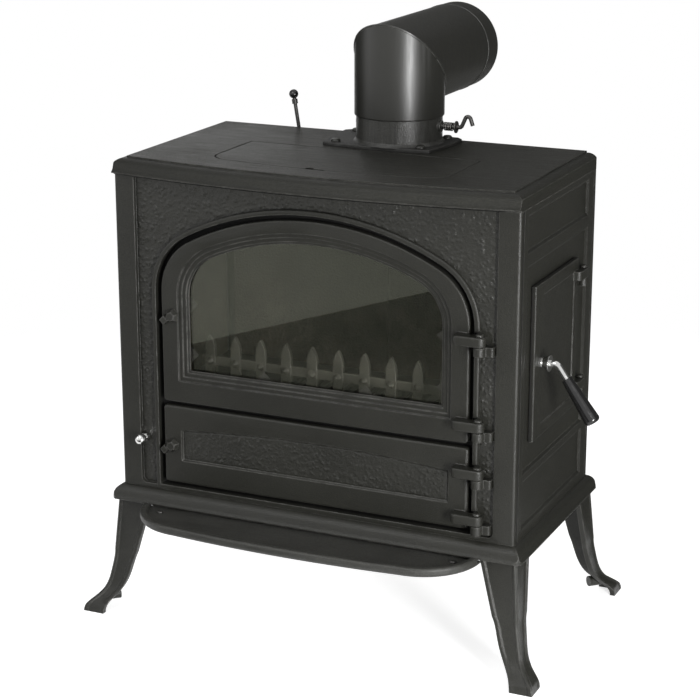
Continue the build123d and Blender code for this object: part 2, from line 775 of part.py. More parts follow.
def spring_path():
    """Edges of the spring's centre line: straight ends and biarcs of a quarter turn."""
    y = FLUE_XY[1]
    wire = 2 * SPRING_WIRE_R
    turn_start = SPRING_X[0] + wire + 2.5
    lead = SPRING_PITCH / (2 * math.pi)

    def point(angle):
        return Vector(
            turn_start + lead * (angle - lead_in),
            y + SPRING_R * math.cos(angle),
            DAMPER_Z + SPRING_R * math.sin(angle),
        )

    def heading(angle):
        around = Vector(lead, -SPRING_R * math.sin(angle), SPRING_R * math.cos(angle))
        return around.normalized()

    lead_in = math.radians(60)
    angles = [lead_in + k * math.pi / 2 for k in range(4 * SPRING_TURNS + 1)]
    axis = Vector(1, 0, 0)
    first = Vector(SPRING_X[0], y + SPRING_R, DAMPER_Z)
    end_angle = angles[-1] + lead_in
    last = Vector(
        SPRING_X[1],
        y + SPRING_R * math.cos(end_angle),
        DAMPER_Z + SPRING_R * math.sin(end_angle),
    )
    edges = [Line(first, first + axis * wire)]
    edges += biarc(first + axis * wire, axis, point(angles[0]), heading(angles[0]))
    for a, b in zip(angles, angles[1:]):
        edges += biarc(point(a), heading(a), point(b), heading(b))
    edges += biarc(point(angles[-1]), heading(angles[-1]), last - axis * wire, axis)
    edges.append(Line(last - axis * wire, last))
    return edges


def damper_spring():
    edges = spring_path()
    print_least_gap(edges)
    path = Wire(edges)
    start = Plane(origin=path @ 0, z_dir=(1, 0, 0))
    return sweep(start * Circle(SPRING_WIRE_R), path=path)


def print_least_gap(edges):
    """Print the spring's tightest bend and its least gap to itself, measured on points."""
    points = []
    run = 0.0
    for edge in edges:
        steps = 8
        for k in range(steps):
            points.append((run + edge.length * k / steps, edge @ (k / steps)))
        run += edge.length
    apart = 3 * SPRING_R
    gap = min(
        (p - q).length - 2 * SPRING_WIRE_R
        for i, (s, p) in enumerate(points)
        for t, q in points[:i]
        if s - t > apart
    )
    arcs = [e.radius for e in edges if e.geom_type == GeomType.CIRCLE]
    print(f"spring: least gap {gap:.2f}, tightest bend {min(arcs):.2f}")


# Front doors


def hinge_arm(arm_z):
    """Soft-edged arm on a door's face with its eye on the hinge line."""
    z = (arm_z - ARM_H / 2, arm_z + ARM_H / 2)
    front, back = HINGE[1] - EYE_R, HINGE[1] + EYE_R
    plan = rect((ARM_START_X, HINGE[0]), (front, back)) + Pos(*HINGE) * Circle(EYE_R)
    near_end = [v for v in plan.vertices() if v.X < ARM_START_X + 1 and v.Y < front + 1]
    arm = from_above(fillet(near_end, 9), z)
    arm = fillet(at_height(arm, z[0]) + at_height(arm, z[1]), ARM_SOFT)
    root = block((ARM_START_X, HALF_DOOR - 2), (HINGE[1], DOOR_Y[0] + 1), z)
    root = fillet(root.edges().filter_by(Axis.Y), ARM_SOFT)
    return arm + root


def eye_hole(arm_z):
    low = (*HINGE, arm_z - ARM_H)
    high = (*HINGE, arm_z + ARM_H)
    return rod(low, high, PIN_R + RUN_FIT)


def fire_door():
    front, back = DOOR_Y
    outline = arch(RIM_ARCH, -DOOR_INSET, FIRE_DOOR_Z)
    outline = fillet([v for v in outline.vertices() if v.Y < FIRE_DOOR_Z + 1], DOOR_CORNER_R)
    frame = from_front(outline, DOOR_Y)
    frame = fillet(front_edges(frame, front), 2.5)
    steps = ((18, front + 3.5), (11, front + 6), (4, front + 8))
    for grow, depth in steps:
        hole = arch(GLASS_ARCH, grow, GLASS_Z - grow)
        frame -= from_front(hole, (front - 1, depth))
    frame -= from_front(arch(GLASS_ARCH, 0, GLASS_Z), (front - 1, back + 1))
    pocket_y = back - GLASS_T - GASKET_T - 0.5
    frame -= from_front(arch(GLASS_ARCH, 5, GLASS_Z - 5), (pocket_y, back + 1))
    frame -= from_front(fire_seal_face(), (back - SEAL_DEPTH, back + 1))
    for arm_z in FIRE_ARMS_Z:
        frame += hinge_arm(arm_z)
    for arm_z in FIRE_ARMS_Z:
        frame -= eye_hole(arm_z)
    for x, z in clip_points():
        frame -= clip_screw_shank(x, z)
    return frame - latch_hole(*FIRE_LATCH)


def latch_hole(x, z):
    return rod((x, -200, z), (x, -150, z), SPINDLE_R + RUN_FIT)


def fire_seal_face():
    """Plan of the rope seal on the back of the fire door."""
    inner = 13.0
    low = FIRE_DOOR_Z + 6
    outer_arch = arch(GLASS_ARCH, inner + SEAL_W, low)
    return outer_arch - arch(GLASS_ARCH, inner, low + SEAL_W)


def fire_door_seal():
    back = DOOR_Y[1]
    return from_front(fire_seal_face(), (back - SEAL_DEPTH, FLANGE_Y[0] - SEAL_GAP))


def door_glass():
    back = DOOR_Y[1] - 0.5
    return from_front(arch(GLASS_ARCH, 4.5, GLASS_Z - 4.5), (back - GLASS_T, back))


def glass_gasket():
    back = DOOR_Y[1] - 0.5 - GLASS_T
    ring = arch(GLASS_ARCH, 4.5, GLASS_Z - 4.5) - arch(GLASS_ARCH, 0.5, GLASS_Z - 0.5)
    return from_front(ring, (back - GASKET_T, back))


def clip_points():
    """Centres of the square clips that hold the glass, on the edge of its opening."""
    side = GLASS_ARCH[0]
    low = GLASS_Z
    return [(-side, 545), (side, 545), (-side, 460), (side, 460), (-90, low), (90, low)]


def clip_screw_place(x, z):
    """The screw stands outside the glass, towards the frame."""
    if abs(x) > GLASS_ARCH[0] - 1:
        return (math.copysign(abs(x) + CLIP_SCREW_OUT, x), z)
    return (x, z - CLIP_SCREW_OUT)


def clip_screw_shank(x, z):
    sx, sz = clip_screw_place(x, z)
    return rod((sx, DOOR_Y[1] - CLIP_SCREW_L, sz), (sx, CLIP_Y[1] + 1, sz), CLIP_SCREW_R)


def glass_clips():
    clips = []
    for x, z in clip_points():
        side = CLIP_HALF * math.sqrt(2)
        plan = Pos(x, z) * Rot(0, 0, 45) * Rectangle(side, side)
        clips.append(from_front(plan, CLIP_Y) - clip_screw_shank(x, z))
    return clips


def clip_screws():
    screws = []
    for x, z in clip_points():
        sx, sz = clip_screw_place(x, z)
        head = rod((sx, CLIP_Y[1], sz), (sx, CLIP_Y[1] + 1.6, sz), 3.4)
        screws.append(head + clip_screw_shank(x, z))
    return screws


def ash_panel():
    """Sunk field of the ash door: straight sides and foot, gently arched top."""
    half = ASH_PANEL_HALF
    low, high = ASH_PANEL_Z
    edges = [
        Line((-half, low), (half, low)),
        Line((half, low), (half, high)),
        ThreePointArc((half, high), (0, high + ASH_PANEL_RISE), (-half, high)),
        Line((-half, high), (-half, low)),
    ]
    return make_face(edges)


def ash_seal_face():
    inner_x = ASH_HOLE_HALF + 1.5
    low, high = ASH_HOLE_Z[0] - 1.5, ASH_HOLE_Z[1] + 1.5
    w = SEAL_W
    outer = rect((-inner_x - w, inner_x + w), (low - w, high + w))
    return outer - rect((-inner_x, inner_x), (low, high))


def ash_door():
    front, back = DOOR_Y
    slab = block((-ASH_DOOR_HALF, ASH_DOOR_HALF), DOOR_Y, ASH_DOOR_Z)
    slab = fillet(slab.edges().filter_by(Axis.Y), DOOR_CORNER_R)
    slab = fillet(front_edges(slab, front), 4)
    slab -= extrude(Plane.XZ.offset(-front) * ash_panel(), amount=-4, taper=30)
    slab -= block((-ASH_BACK_HALF, ASH_BACK_HALF), (back - 6, back + 1), ASH_BACK_Z)
    slab -= from_front(ash_seal_face(), (back - SEAL_DEPTH, back + 1))
    for arm_z in ASH_ARMS_Z:
        slab += hinge_arm(arm_z)
    for arm_z in ASH_ARMS_Z:
        slab -= eye_hole(arm_z)
    return slab - latch_hole(*ASH_LATCH)


def ash_door_seal():
    back = DOOR_Y[1]
    return from_front(ash_seal_face(), (back - SEAL_DEPTH, FLANGE_Y[0] - SEAL_GAP))


def latch(x, z):
    """Spindle with a faceted boss and a square tongue towards the jamb."""
    face = DOOR_Y[0] - LATCH_GAP
    base = Plane.XZ.offset(-face)
    boss = extrude(base * (Pos(x, z) * Rot(0, 0, 20) * RegularPolygon(13, 6)), amount=9, taper=28)
    tip = Pos(x - 14, z - 8) * Rot(0, 0, 45) * Rectangle(13, 13)
    tongue = extrude(base * tip, amount=6, taper=12)
    return boss + tongue + rod((x, face - 1, z), (x, FLANGE_Y[0] - 0.6, z), SPINDLE_R)


def latch_washer(x, z):
    y = (DOOR_Y[1] + 0.3, FLANGE_Y[0] - 0.6)
    washer = rod((x, y[0], z), (x, y[1], z), 7.5)
    return washer - rod((x, y[0] - 1, z), (x, y[1] + 1, z), SPINDLE_R)


def hinge_pin(x, y, z, top):
    """Pin from a knuckle's foot through the eye above it, with a domed head."""
    head_z = top + 0.4
    head = fillet(at_height(rod((x, y, head_z), (x, y, head_z + 4), 6.5), head_z + 4), 3)
    return head + rod((x, y, z), (x, y, head_z + 1), PIN_R)


def front_hinge_pins():
    return [
        hinge_pin(*HINGE, knuckle_z(arm_z)[0], arm_z + ARM_H / 2)
        for arm_z in FIRE_ARMS_Z + ASH_ARMS_Z
    ]


def side_hinge_pins():
    return [
        hinge_pin(*SIDE_HINGE, side_knuckle_z(eye_z)[0], eye_z + SIDE_ARM_H / 2)
        for eye_z in SIDE_EYES_Z
    ]


# Side door


def side_seal_face():
    y = (SIDE_HOLE_Y[0] - 2, SIDE_HOLE_Y[1] + 2)
    z = (SIDE_HOLE_Z[0] - 2.5, SIDE_HOLE_Z[1] + 2.5)
    w = 5.0
    return rect((y[0] - w, y[1] + w), (z[0] - w, z[1] + w)) - rect(y, z)


def side_door():
    inner, outer = SIDE_DOOR_X
    door = block(SIDE_DOOR_X, SIDE_DOOR_Y, SIDE_DOOR_Z)
    door = fillet([e for e in door.edges() if e.center().X > outer - 1e-3], 2)
    margin = 20.0
    panel = rect(
        (SIDE_DOOR_Y[0] + margin + 16, SIDE_DOOR_Y[1] - margin),
        (SIDE_DOOR_Z[0] + margin, SIDE_DOOR_Z[1] - margin),
    )
    door -= extrude(Plane.YZ.offset(outer) * panel, amount=-1.6, taper=30)
    door -= from_side(side_seal_face(), (inner - 1, inner + SEAL_DEPTH))
    x, y = SIDE_HINGE
    for eye_z in SIDE_EYES_Z:
        z = (eye_z - SIDE_ARM_H / 2, eye_z + SIDE_ARM_H / 2)
        arm = block((352, x + SIDE_EYE_R), (SIDE_ARM_Y, y), z)
        uprights = arm.edges().filter_by(Axis.Z)
        near_end = [e for e in uprights if e.center().Y < SIDE_ARM_Y + 1 and e.center().X > x]
        arm = fillet(near_end, 8)
        door += arm + rod((x, y, z[0]), (x, y, z[1]), SIDE_EYE_R)
    for eye_z in SIDE_EYES_Z:
        door -= rod((x, y, eye_z - 30), (x, y, eye_z + 30), PIN_R + RUN_FIT)
    y, z = HANDLE_YZ
    return door - rod((330, y, z), (370, y, z), SPINDLE_R + RUN_FIT)


def side_door_seal():
    low = HALF_W - SIDE_FIELD + SEAL_GAP
    return from_side(side_seal_face(), (low, SIDE_DOOR_X[0] + SEAL_DEPTH))


def side_handle_stem():
    y, z = HANDLE_YZ
    face = SIDE_DOOR_X[1] + 0.4
    stem = rod((336, y, z), (face + 1, y, z), SPINDLE_R)
    stem += rod((face, y, z), (face + 5, y, z), 8)
    cone_start = Plane(origin=(face + 5, y, z), z_dir=(1, 0, 0))
    cone_end = cone_start.offset(11)
    stem += loft([cone_start * Circle(6.5), cone_end * Circle(13)])
    stem += rod((face + 16, y, z), (face + 18, y, z), 13)
    points = [(face + 10, y, z), (GRIP_BEND_X, y, z), GRIP_START]
    path = FilletPolyline(*points, radius=12)
    start = Plane(origin=path @ 0, z_dir=path % 0)
    return stem + sweep(start * Circle(5.5), path=path)


def side_handle_grip():
    grip = Cone(8.5, 13.2, GRIP_L, align=(Align.CENTER, Align.CENTER, Align.MIN))
    grip = fillet(at_height(grip, GRIP_L), 6)
    place = Plane(origin=GRIP_START, x_dir=(0, 1, 0), z_dir=GRIP_DIR)
    return place.location * grip


def side_latch_cam():
    y, z = HANDLE_YZ
    cam = rod((336, y, z), (340, y, z), 9)
    return cam - rod((335, y, z), (341, y, z), SPINDLE_R)


# Air controls


def air_knob():
    x, z = AIR_KNOB_XZ
    face = FIELD_Y - LATCH_GAP
    collar = Plane.XZ.offset(-face) * (Pos(x, z) * RegularPolygon(7, 6))
    knob = extrude(collar, amount=10)
    knob += rod((x, face - 9, z), (x, face - 16, z), 5)
    knob += Pos(x, face - 22, z) * Sphere(9.5)
    return knob - rod((x, face + 1, z), (x, face - 6, z), SPINDLE_R)


def air_rod():
    x, z = AIR_KNOB_XZ
    end = -120.0
    shaft = rod((x, FIELD_Y - LATCH_GAP - 6, z), (x, end, z), SPINDLE_R)
    return shaft + block((x - 14, x + 14), (end - 4, end), (z - 20, z + 20))


def rear_shutter():
    x, z = LEVER_PIVOT
    disc = rod((x, BACK_Y + 0.5, z), (x, BACK_Y + 4, z), SHUTTER_R)
    disc += rod((x, BACK_Y + 3, z), (x, LEVER_Y + 5, z), LEVER_HUB_R)
    for hole_x, hole_z in shutter_holes():
        disc -= rod((hole_x, BACK_Y - 1, hole_z), (hole_x, BACK_Y + 9, hole_z), SHUTTER_HOLE_R)
    return disc - rod((x, BACK_Y - 1, z), (x, LEVER_Y + 9, z), PIN_R + RUN_FIT)


def lever_point(distance):
    """Point on the rear lever's centre line, measured from its pivot."""
    x, z = LEVER_PIVOT
    lean = math.radians(LEVER_LEAN)
    return (x - distance * math.sin(lean), LEVER_Y, z + distance * math.cos(lean))


def air_lever():
    shaft = rod(lever_point(6), lever_point(LEVER_L - 5), LEVER_R)
    shaft += rod(lever_point(LEVER_L - 17), lever_point(LEVER_L - 9), 5)
    return shaft - rear_shutter_hub()


def rear_shutter_hub():
    x, z = LEVER_PIVOT
    return rod((x, BACK_Y, z), (x, LEVER_Y + 5, z), LEVER_HUB_R)


def air_lever_ball():
    ball = Pos(*lever_point(LEVER_L)) * Sphere(8)
    return ball - rod(lever_point(0), lever_point(LEVER_L - 5), LEVER_R)


def lever_pivot_bolt():
    x, z = LEVER_PIVOT
    end = LEVER_Y + 5.4
    head = rod((x, end, z), (x, end + 5, z), 8)
    return head + rod((x, BACK_Y - WALL, z), (x, end + 1, z), PIN_R)


# Inside


def hearth_plate():
    plate = block((-INNER_HALF - 1, INNER_HALF + 1), (-HEARTH_Y, HEARTH_Y), HEARTH_Z)
    g, y = GRATE_HALF, GRATE_Y
    mid = (HEARTH_Z[0] + HEARTH_Z[1]) / 2
    plate -= block((-g - 1, g + 1), (y[0] - 1, y[1] + 1), (mid, HEARTH_Z[1] + 1))
    return plate - block((8 - g, g - 8), (y[0] + 8, y[1] - 8), (HEARTH_Z[0] - 1, mid + 1))


def fire_grate():
    g, y = GRATE_HALF, GRATE_Y
    low = (HEARTH_Z[0] + HEARTH_Z[1]) / 2
    grate = block((-g, g), y, (low, low + GRATE_T))
    for k in range(GRATE_SLOTS):
        x = (k - (GRATE_SLOTS - 1) / 2) * GRATE_PITCH
        grate -= block((x - 5, x + 5), (y[0] + 14, y[1] - 14), (low - 1, low + GRATE_T + 1))
    return grate


def picket(x):
    """Lancet bar with a conical boss at the rail."""
    half = PICKET_W / 2
    neck = FENCE_TIP_Z - 26
    edges = [
        Line((x - half, HEARTH_Z[1]), (x + half, HEARTH_Z[1])),
        Line((x + half, HEARTH_Z[1]), (x + half, neck)),
        ThreePointArc((x + half, neck), (x + half * 0.72, neck + 14), (x, FENCE_TIP_Z)),
        ThreePointArc((x, FENCE_TIP_Z), (x - half * 0.72, neck + 14), (x - half, neck)),
        Line((x - half, neck), (x - half, HEARTH_Z[1])),
    ]
    bar = from_front(make_face(edges), (FENCE_Y - 4, FENCE_Y + 4))
    tip = Plane(origin=(x, FENCE_Y - 3.5, sum(RAIL_Z) / 2), z_dir=(0, -1, 0))
    return bar + loft([tip * Circle(7), tip.offset(8) * Circle(2)])


def log_fence():
    reach = PICKET_PITCH * (PICKETS - 1) / 2
    fence = block((-reach - 16, reach + 16), (FENCE_Y - 3, FENCE_Y + 3), RAIL_Z)
    for k in range(PICKETS):
        fence += picket(k * PICKET_PITCH - reach)
    return fence


def ash_pan():
    half, y, z, t = PAN_HALF, PAN_Y, PAN_Z, PAN_T
    pan = block((-half, half), y, z)
    pan -= block((t - half, half - t), (y[0] + t, y[1] - t), (z[0] + t, z[1] + 1))
    return pan + block((-40, 40), (y[0] - 3, y[0] + 1), (318, 324))


def ash_pan_runners():
    z = (BASE_FLOOR_Z, PAN_Z[0])
    return [block((x - 10, x + 10), (-HEARTH_Y, HEARTH_Y), z) for x in (-205, 205)]


def brick_back():
    return block((-300, 300), (135, 135 + BRICK_T), (HEARTH_Z[1], BRICK_TOP))


def brick_left():
    return block((-INNER_HALF, BRICK_T - INNER_HALF), (-140, 134), (HEARTH_Z[1], BRICK_TOP))


def baffle_plate():
    z = (BRICK_TOP, BRICK_TOP + BAFFLE_T)
    return block((-INNER_HALF, INNER_HALF), (-50, HEARTH_Y), z)


def tie_rods():
    rods = []
    for x, y in corners(TIE_XY):
        nut = from_above(Pos(x, y) * RegularPolygon(7, 6), (TIE_Z - 10, TIE_Z))
        rods.append(rod((x, y, BASE_FLOOR_Z), (x, y, TIE_Z), TIE_R) + nut)
    return rods


NODES = {
    "base_plate": base_plate,
    "front_plate": front_plate,
    "left_plate": lambda: side_plate(-1),
    "right_plate": right_plate,
    "back_plate": back_plate,
    "top_plate": top_plate,
    "hot_plate": hot_plate,
    "leg_front_left": lambda: leg(-1, False),
    "leg_front_right": lambda: leg(1, False),
    "leg_back_left": lambda: leg(-1, True),
    "leg_back_right": lambda: leg(1, True),
    "leg_bolts": leg_bolts,
    "ash_shelf": ash_shelf,
    "shelf_brackets": shelf_brackets,
    "shelf_screws": shelf_screws,
    "flue_collar": flue_collar,
    "collar_bolts": collar_bolts,
    "flue_elbow": flue_elbow,
    "damper_plate": damper_plate,
    "damper_spindle": damper_spindle,
    "damper_spring": damper_spring,
    "damper_washer": damper_washer,
    "fire_door": fire_door,
    "fire_door_seal": fire_door_seal,
    "door_glass": door_glass,
    "glass_gasket": glass_gasket,
    "glass_clips": glass_clips,
    "clip_screws": clip_screws,
    "fire_door_latch": lambda: latch(*FIRE_LATCH),
    "fire_latch_washer": lambda: latch_washer(*FIRE_LATCH),
    "ash_door": ash_door,
    "ash_door_seal": ash_door_seal,
    "ash_door_latch": lambda: latch(*ASH_LATCH),
    "ash_latch_washer": lambda: latch_washer(*ASH_LATCH),
    "front_hinge_pins": front_hinge_pins,
    "side_door": side_door,
    "side_door_seal": side_door_seal,
    "side_handle_stem": side_handle_stem,
    "side_handle_grip": side_handle_grip,
    "side_latch_cam": side_latch_cam,
    "side_hinge_pins": side_hinge_pins,
    "air_knob": air_knob,
    "air_rod": air_rod,
    "rear_shutter": rear_shutter,
    "air_lever": air_lever,
    "air_lever_ball": air_lever_ball,
    "lever_pivot_bolt": lever_pivot_bolt,
    "hearth_plate": hearth_plate,
    "fire_grate": fire_grate,
    "log_fence": log_fence,
    "ash_pan": ash_pan,
    "ash_pan_runners": ash_pan_runners,
    "brick_back": brick_back,
    "brick_left": brick_left,
    "baffle_plate": baffle_plate,
    "tie_rods": tie_rods,
}

os.makedirs("parts", exist_ok=True)
for name, make in NODES.items():
    made = make()
    solids = made if isinstance(made, list) else [made]
    export_step(Compound(children=solids) if len(solids) > 1 else solids[0], f"parts/{name}.step")
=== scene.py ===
import json
import math

import bmesh
import bpy
import numpy as np
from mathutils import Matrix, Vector


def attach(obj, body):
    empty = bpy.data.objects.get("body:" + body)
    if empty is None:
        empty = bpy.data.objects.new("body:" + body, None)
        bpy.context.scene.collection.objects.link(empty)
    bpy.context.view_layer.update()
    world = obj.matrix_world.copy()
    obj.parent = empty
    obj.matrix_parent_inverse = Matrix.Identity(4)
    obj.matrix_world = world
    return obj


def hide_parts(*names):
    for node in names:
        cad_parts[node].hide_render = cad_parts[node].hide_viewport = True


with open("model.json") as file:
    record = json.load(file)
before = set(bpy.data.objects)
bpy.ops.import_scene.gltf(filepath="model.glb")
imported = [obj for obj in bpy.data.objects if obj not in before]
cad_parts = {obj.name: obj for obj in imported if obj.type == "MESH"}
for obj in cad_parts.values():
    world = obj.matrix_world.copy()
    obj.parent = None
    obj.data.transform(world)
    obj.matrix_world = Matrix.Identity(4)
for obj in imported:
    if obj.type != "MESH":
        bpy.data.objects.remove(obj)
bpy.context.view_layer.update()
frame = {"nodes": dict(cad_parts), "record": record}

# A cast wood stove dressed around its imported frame.
# X runs to the viewer's right, Y to the back, Z up, and the floor is Z = 0.
# Shapes are written in millimetres, node values and the stage in metres.

MM = 0.001
scene = bpy.context.scene
scene.view_settings.view_transform = "Standard"

NODE_BODY = {
    name: body
    for body, names in frame["record"]["behaviour"]["bodies"].items()
    for name in names
}
NODE_SLOT = {
    part["node"]: part["material_slot"] for part in frame["record"]["subparts"]
}


# Node trees

NUMBER = "NodeSocketFloat"
COUNT = "NodeSocketInt"
COLOUR = "NodeSocketColor"
VECTOR = "NodeSocketVector"
GEOMETRY = "NodeSocketGeometry"
FINISH = "NodeSocketMaterial"
SHAPE = "NodeSocketObject"


def feed(tree, value, socket):
    """Link a socket, or set a plain value on it."""
    if isinstance(value, bpy.types.NodeSocket):
        tree.links.new(value, socket)
    else:
        socket.default_value = value


def wire(tree, node, sockets):
    """Feed a node's sockets by name, with spaces written as underscores."""
    for name, value in sockets.items():
        feed(tree, value, node.inputs[name.replace("_", " ")])


def add(tree, kind, settings=None, **sockets):
    """Add a node with its settings, and its sockets' values or links."""
    made = tree.nodes.new(kind)
    for name, value in (settings or {}).items():
        setattr(made, name, value)
    wire(tree, made, sockets)
    return made


def maths(tree, operation, a, b=0.0, clamp=False):
    made = add(tree, "ShaderNodeMath", {"operation": operation, "use_clamp": clamp})
    feed(tree, a, made.inputs[0])
    feed(tree, b, made.inputs[1])
    return made.outputs[0]


def times(tree, product, *factors):
    """Multiply values one after another."""
    for factor in factors:
        product = maths(tree, "MULTIPLY", product, factor)
    return product


def arrow(tree, operation, a, b):
    """Vector arithmetic; the second value is a number for SCALE."""
    made = add(tree, "ShaderNodeVectorMath", {"operation": operation})
    feed(tree, a, made.inputs[0])
    feed(tree, b, made.inputs["Scale"] if operation == "SCALE" else made.inputs[1])
    return made.outputs["Vector"]


def remap(tree, value, low, high, to_low=0.0, to_high=1.0, smooth=False):
    """Stretch a range of values onto another, clamped."""
    made = add(
        tree,
        "ShaderNodeMapRange",
        {"interpolation_type": "SMOOTHSTEP" if smooth else "LINEAR"},
        Value=value,
        From_Min=low,
        From_Max=high,
        To_Min=to_low,
        To_Max=to_high,
    )
    return made.outputs[0]


def blend_colour(tree, mask, a, b):
    made = add(tree, "ShaderNodeMix", {"data_type": "RGBA"})
    for slot, value in ((0, mask), (6, a), (7, b)):
        feed(tree, value, made.inputs[slot])
    return made.outputs[2]


def tint(tree, colour, factor):
    """Multiply a colour by a grey value."""
    return arrow(tree, "SCALE", colour, factor)


def noise(tree, where, scale, detail=2.0, rough=0.5, warp=0.0):
    made = add(
        tree,
        "ShaderNodeTexNoise",
        Vector=where,
        Scale=scale,
        Detail=detail,
        Roughness=rough,
        Distortion=warp,
    )
    return made.outputs["Fac"]


def place(tree):
    return add(tree, "ShaderNodeTexCoord").outputs["Object"]


def bump(tree, height, strength, distance, over=None):
    """Bumped normal, over another normal if one is given."""
    made = add(
        tree, "ShaderNodeBump", Strength=strength, Distance=distance, Height=height
    )
    if over:
        wire(tree, made, {"Normal": over})
    return made.outputs["Normal"]


def socket_kind(value):
    """Kind of socket for a default value; the name of a kind stands for itself."""
    if isinstance(value, str):
        return value
    if isinstance(value, tuple):
        return COLOUR if len(value) == 4 else VECTOR
    return NUMBER if isinstance(value, float) else COUNT


def new_group(kind, name, inputs, outputs):
    """Empty node group with sockets by name, each with a default value or a kind."""
    tree = bpy.data.node_groups.new(name, kind)
    for in_out, sockets in (("INPUT", inputs), ("OUTPUT", outputs)):
        for label, value in sockets.items():
            socket = tree.interface.new_socket(
                label, in_out=in_out, socket_type=socket_kind(value)
            )
            if not isinstance(value, str):
                socket.default_value = value
    given = tree.nodes.new("NodeGroupInput").outputs
    result = tree.nodes.new("NodeGroupOutput").inputs
    return tree, given, result


def use_group(tree, group, **sockets):
    """Place a shader group and return its outputs."""
    return add(tree, "ShaderNodeGroup", {"node_tree": group}, **sockets).outputs


# Effects that several finishes share

NOISE_SPAN = (0.3, 0.7)  # where most values of a noise lie
WAVE_SHARE = 0.1  # slow waves of a cast skin for each of its grains
GRAIN_RELIEF = (0.6, 0.0009)  # strength and height
EDGE_TURN = (0.995, 0.88)  # cosine to the rounded normal, from flat face to edge
BARE_PATCH = (0.35, 0.62)
DUST_SLOPE = (0.6, 1.0)  # upward part of the normal
DUST_PATCH = (0.35, 0.75)


def make_colour_drift():
    """Slow cloudy change of a colour over a casting."""
    tree, given, result = new_group(
        "ShaderNodeTree",
        "colour_drift",
        {"Colour": (0.04, 0.04, 0.037, 1), "Scale": 5.0, "Amount": 0.2},
        {"Colour": COLOUR, "Mask": NUMBER},
    )
    cloud = noise(tree, place(tree), given["Scale"], detail=5.0, rough=0.6, warp=0.4)
    mask = remap(tree, cloud, *NOISE_SPAN)
    swing = times(tree, maths(tree, "SUBTRACT", mask, 0.5), given["Amount"])
    gain = maths(tree, "ADD", swing, 1.0)
    feed(tree, tint(tree, given["Colour"], gain), result["Colour"])
    feed(tree, mask, result["Mask"])
    return tree


def make_cast_grain():
    """Sand-cast skin under paint: fine grain with a slow wave below it."""
    tree, given, result = new_group(
        "ShaderNodeTree",
        "cast_grain",
        {"Scale": 900.0, "Depth": 0.25, "Wave": 0.3, "Over": VECTOR},
        {"Normal": VECTOR, "Height": NUMBER},
    )
    where = place(tree)
    grain = noise(tree, where, given["Scale"], detail=3.0, rough=0.65)
    wave = noise(tree, where, times(tree, given["Scale"], WAVE_SHARE))
    wave = times(tree, wave, given["Wave"])
    height = maths(tree, "ADD", times(tree, grain, given["Depth"]), wave)
    feed(tree, bump(tree, height, *GRAIN_RELIEF, given["Over"]), result["Normal"])
    feed(tree, grain, result["Height"])
    return tree


def make_worn_edges():
    """Rounded normal of the edges, and a mask of where they are rubbed."""
    tree, given, result = new_group(
        "ShaderNodeTree",
        "worn_edges",
        {"Radius": 0.002, "Breakup": 60.0, "Amount": 0.5},
        {"Mask": NUMBER, "Normal": VECTOR},
    )
    rounded = add(tree, "ShaderNodeBevel", {"samples": 4}, Radius=given["Radius"])
    rounded = rounded.outputs["Normal"]
    turn = add(tree, "ShaderNodeVectorMath", {"operation": "DOT_PRODUCT"})
    feed(tree, rounded, turn.inputs[0])
    feed(tree, add(tree, "ShaderNodeNewGeometry").outputs["Normal"], turn.inputs[1])
    edge = remap(tree, turn.outputs["Value"], *EDGE_TURN)
    patch = noise(tree, place(tree), given["Breakup"], detail=4.0, rough=0.7)
    patch = remap(tree, patch, *BARE_PATCH)
    feed(tree, times(tree, edge, patch, given["Amount"]), result["Mask"])
    feed(tree, rounded, result["Normal"])
    return tree


def make_settled_dust():
    """Mask of fine ash lying on faces that look up."""
    tree, given, result = new_group(
        "ShaderNodeTree",
        "settled_dust",
        {"Scale": 25.0, "Amount": 0.2},
        {"Mask": NUMBER},
    )
    normal = add(tree, "ShaderNodeNewGeometry").outputs["Normal"]
    up = add(tree, "ShaderNodeSeparateXYZ", Vector=normal).outputs["Z"]
    up = remap(tree, up, *DUST_SLOPE)
    patch = noise(tree, place(tree), given["Scale"], detail=6.0, rough=0.7)
    patch = remap(tree, patch, *DUST_PATCH)
    feed(tree, times(tree, up, patch, given["Amount"]), result["Mask"])
    return tree


def make_brush_marks():
    """Fine streaks drawn out along one direction: counts per metre along X, Y and Z."""
    tree, given, result = new_group(
        "ShaderNodeTree",
        "brush_marks",
        {"Counts": (10.0, 300.0, 300.0)},
        {"Mask": NUMBER},
    )
    where = arrow(tree, "MULTIPLY", place(tree), given["Counts"])
    streak = noise(tree, where, 1.0, detail=3.0, rough=0.65)
    feed(tree, remap(tree, streak, *NOISE_SPAN), result["Mask"])
    return tree


colour_drift = make_colour_drift()
cast_grain = make_cast_grain()
worn_edges = make_worn_edges()
settled_dust = make_settled_dust()
brush_marks = make_brush_marks()


# Finishes

SOOT_AND_PAINTED_SHADE = "soot"  # attribute on the castings' points: up to 1 where soot covers the paint, and also where shade is painted, in the front opening's rebate, the hot plate's gap and at the collar's foot
CHARCOAL = (0.0168, 0.0168, 0.0138)
# Black of soot, also used as painted shade
SOOT_AND_SHADE_BLACK = (0.0035, 0.0033, 0.003, 1)
RUBBED_IRON = (0.15, 0.148, 0.138, 1)
RUBBED_FIRE_IRON = (0.16, 0.155, 0.13, 1)
RUBBED_FLUE = (0.16, 0.16, 0.15, 1)
ASH_GREY = (0.2, 0.195, 0.18, 1)
FIRE_ASH = (0.23, 0.215, 0.19, 1)
SMOKED_BOARD = (0.016, 0.015, 0.0135, 1)
SMOKE_RISE = (0.36, 0.6)  # heights between which the fire boards turn dark
FLAKE_TONES = (0.7, 1.25)
PAINT_GRAIN = 460.0  # grains per metre
PAINT_SPECK = (0.66, 1.34)  # colour in the pits and on the grains
PAINT_PORES = (1.2, 0.8)  # roughness in the pits and on the grains
PAINT_DRIFT = 0.04  # roughness up and down over a casting
STREAK_TONES = (0.78, 1.22)
RUBBED_POLISH = 0.12  # roughness lost at rubbed edges
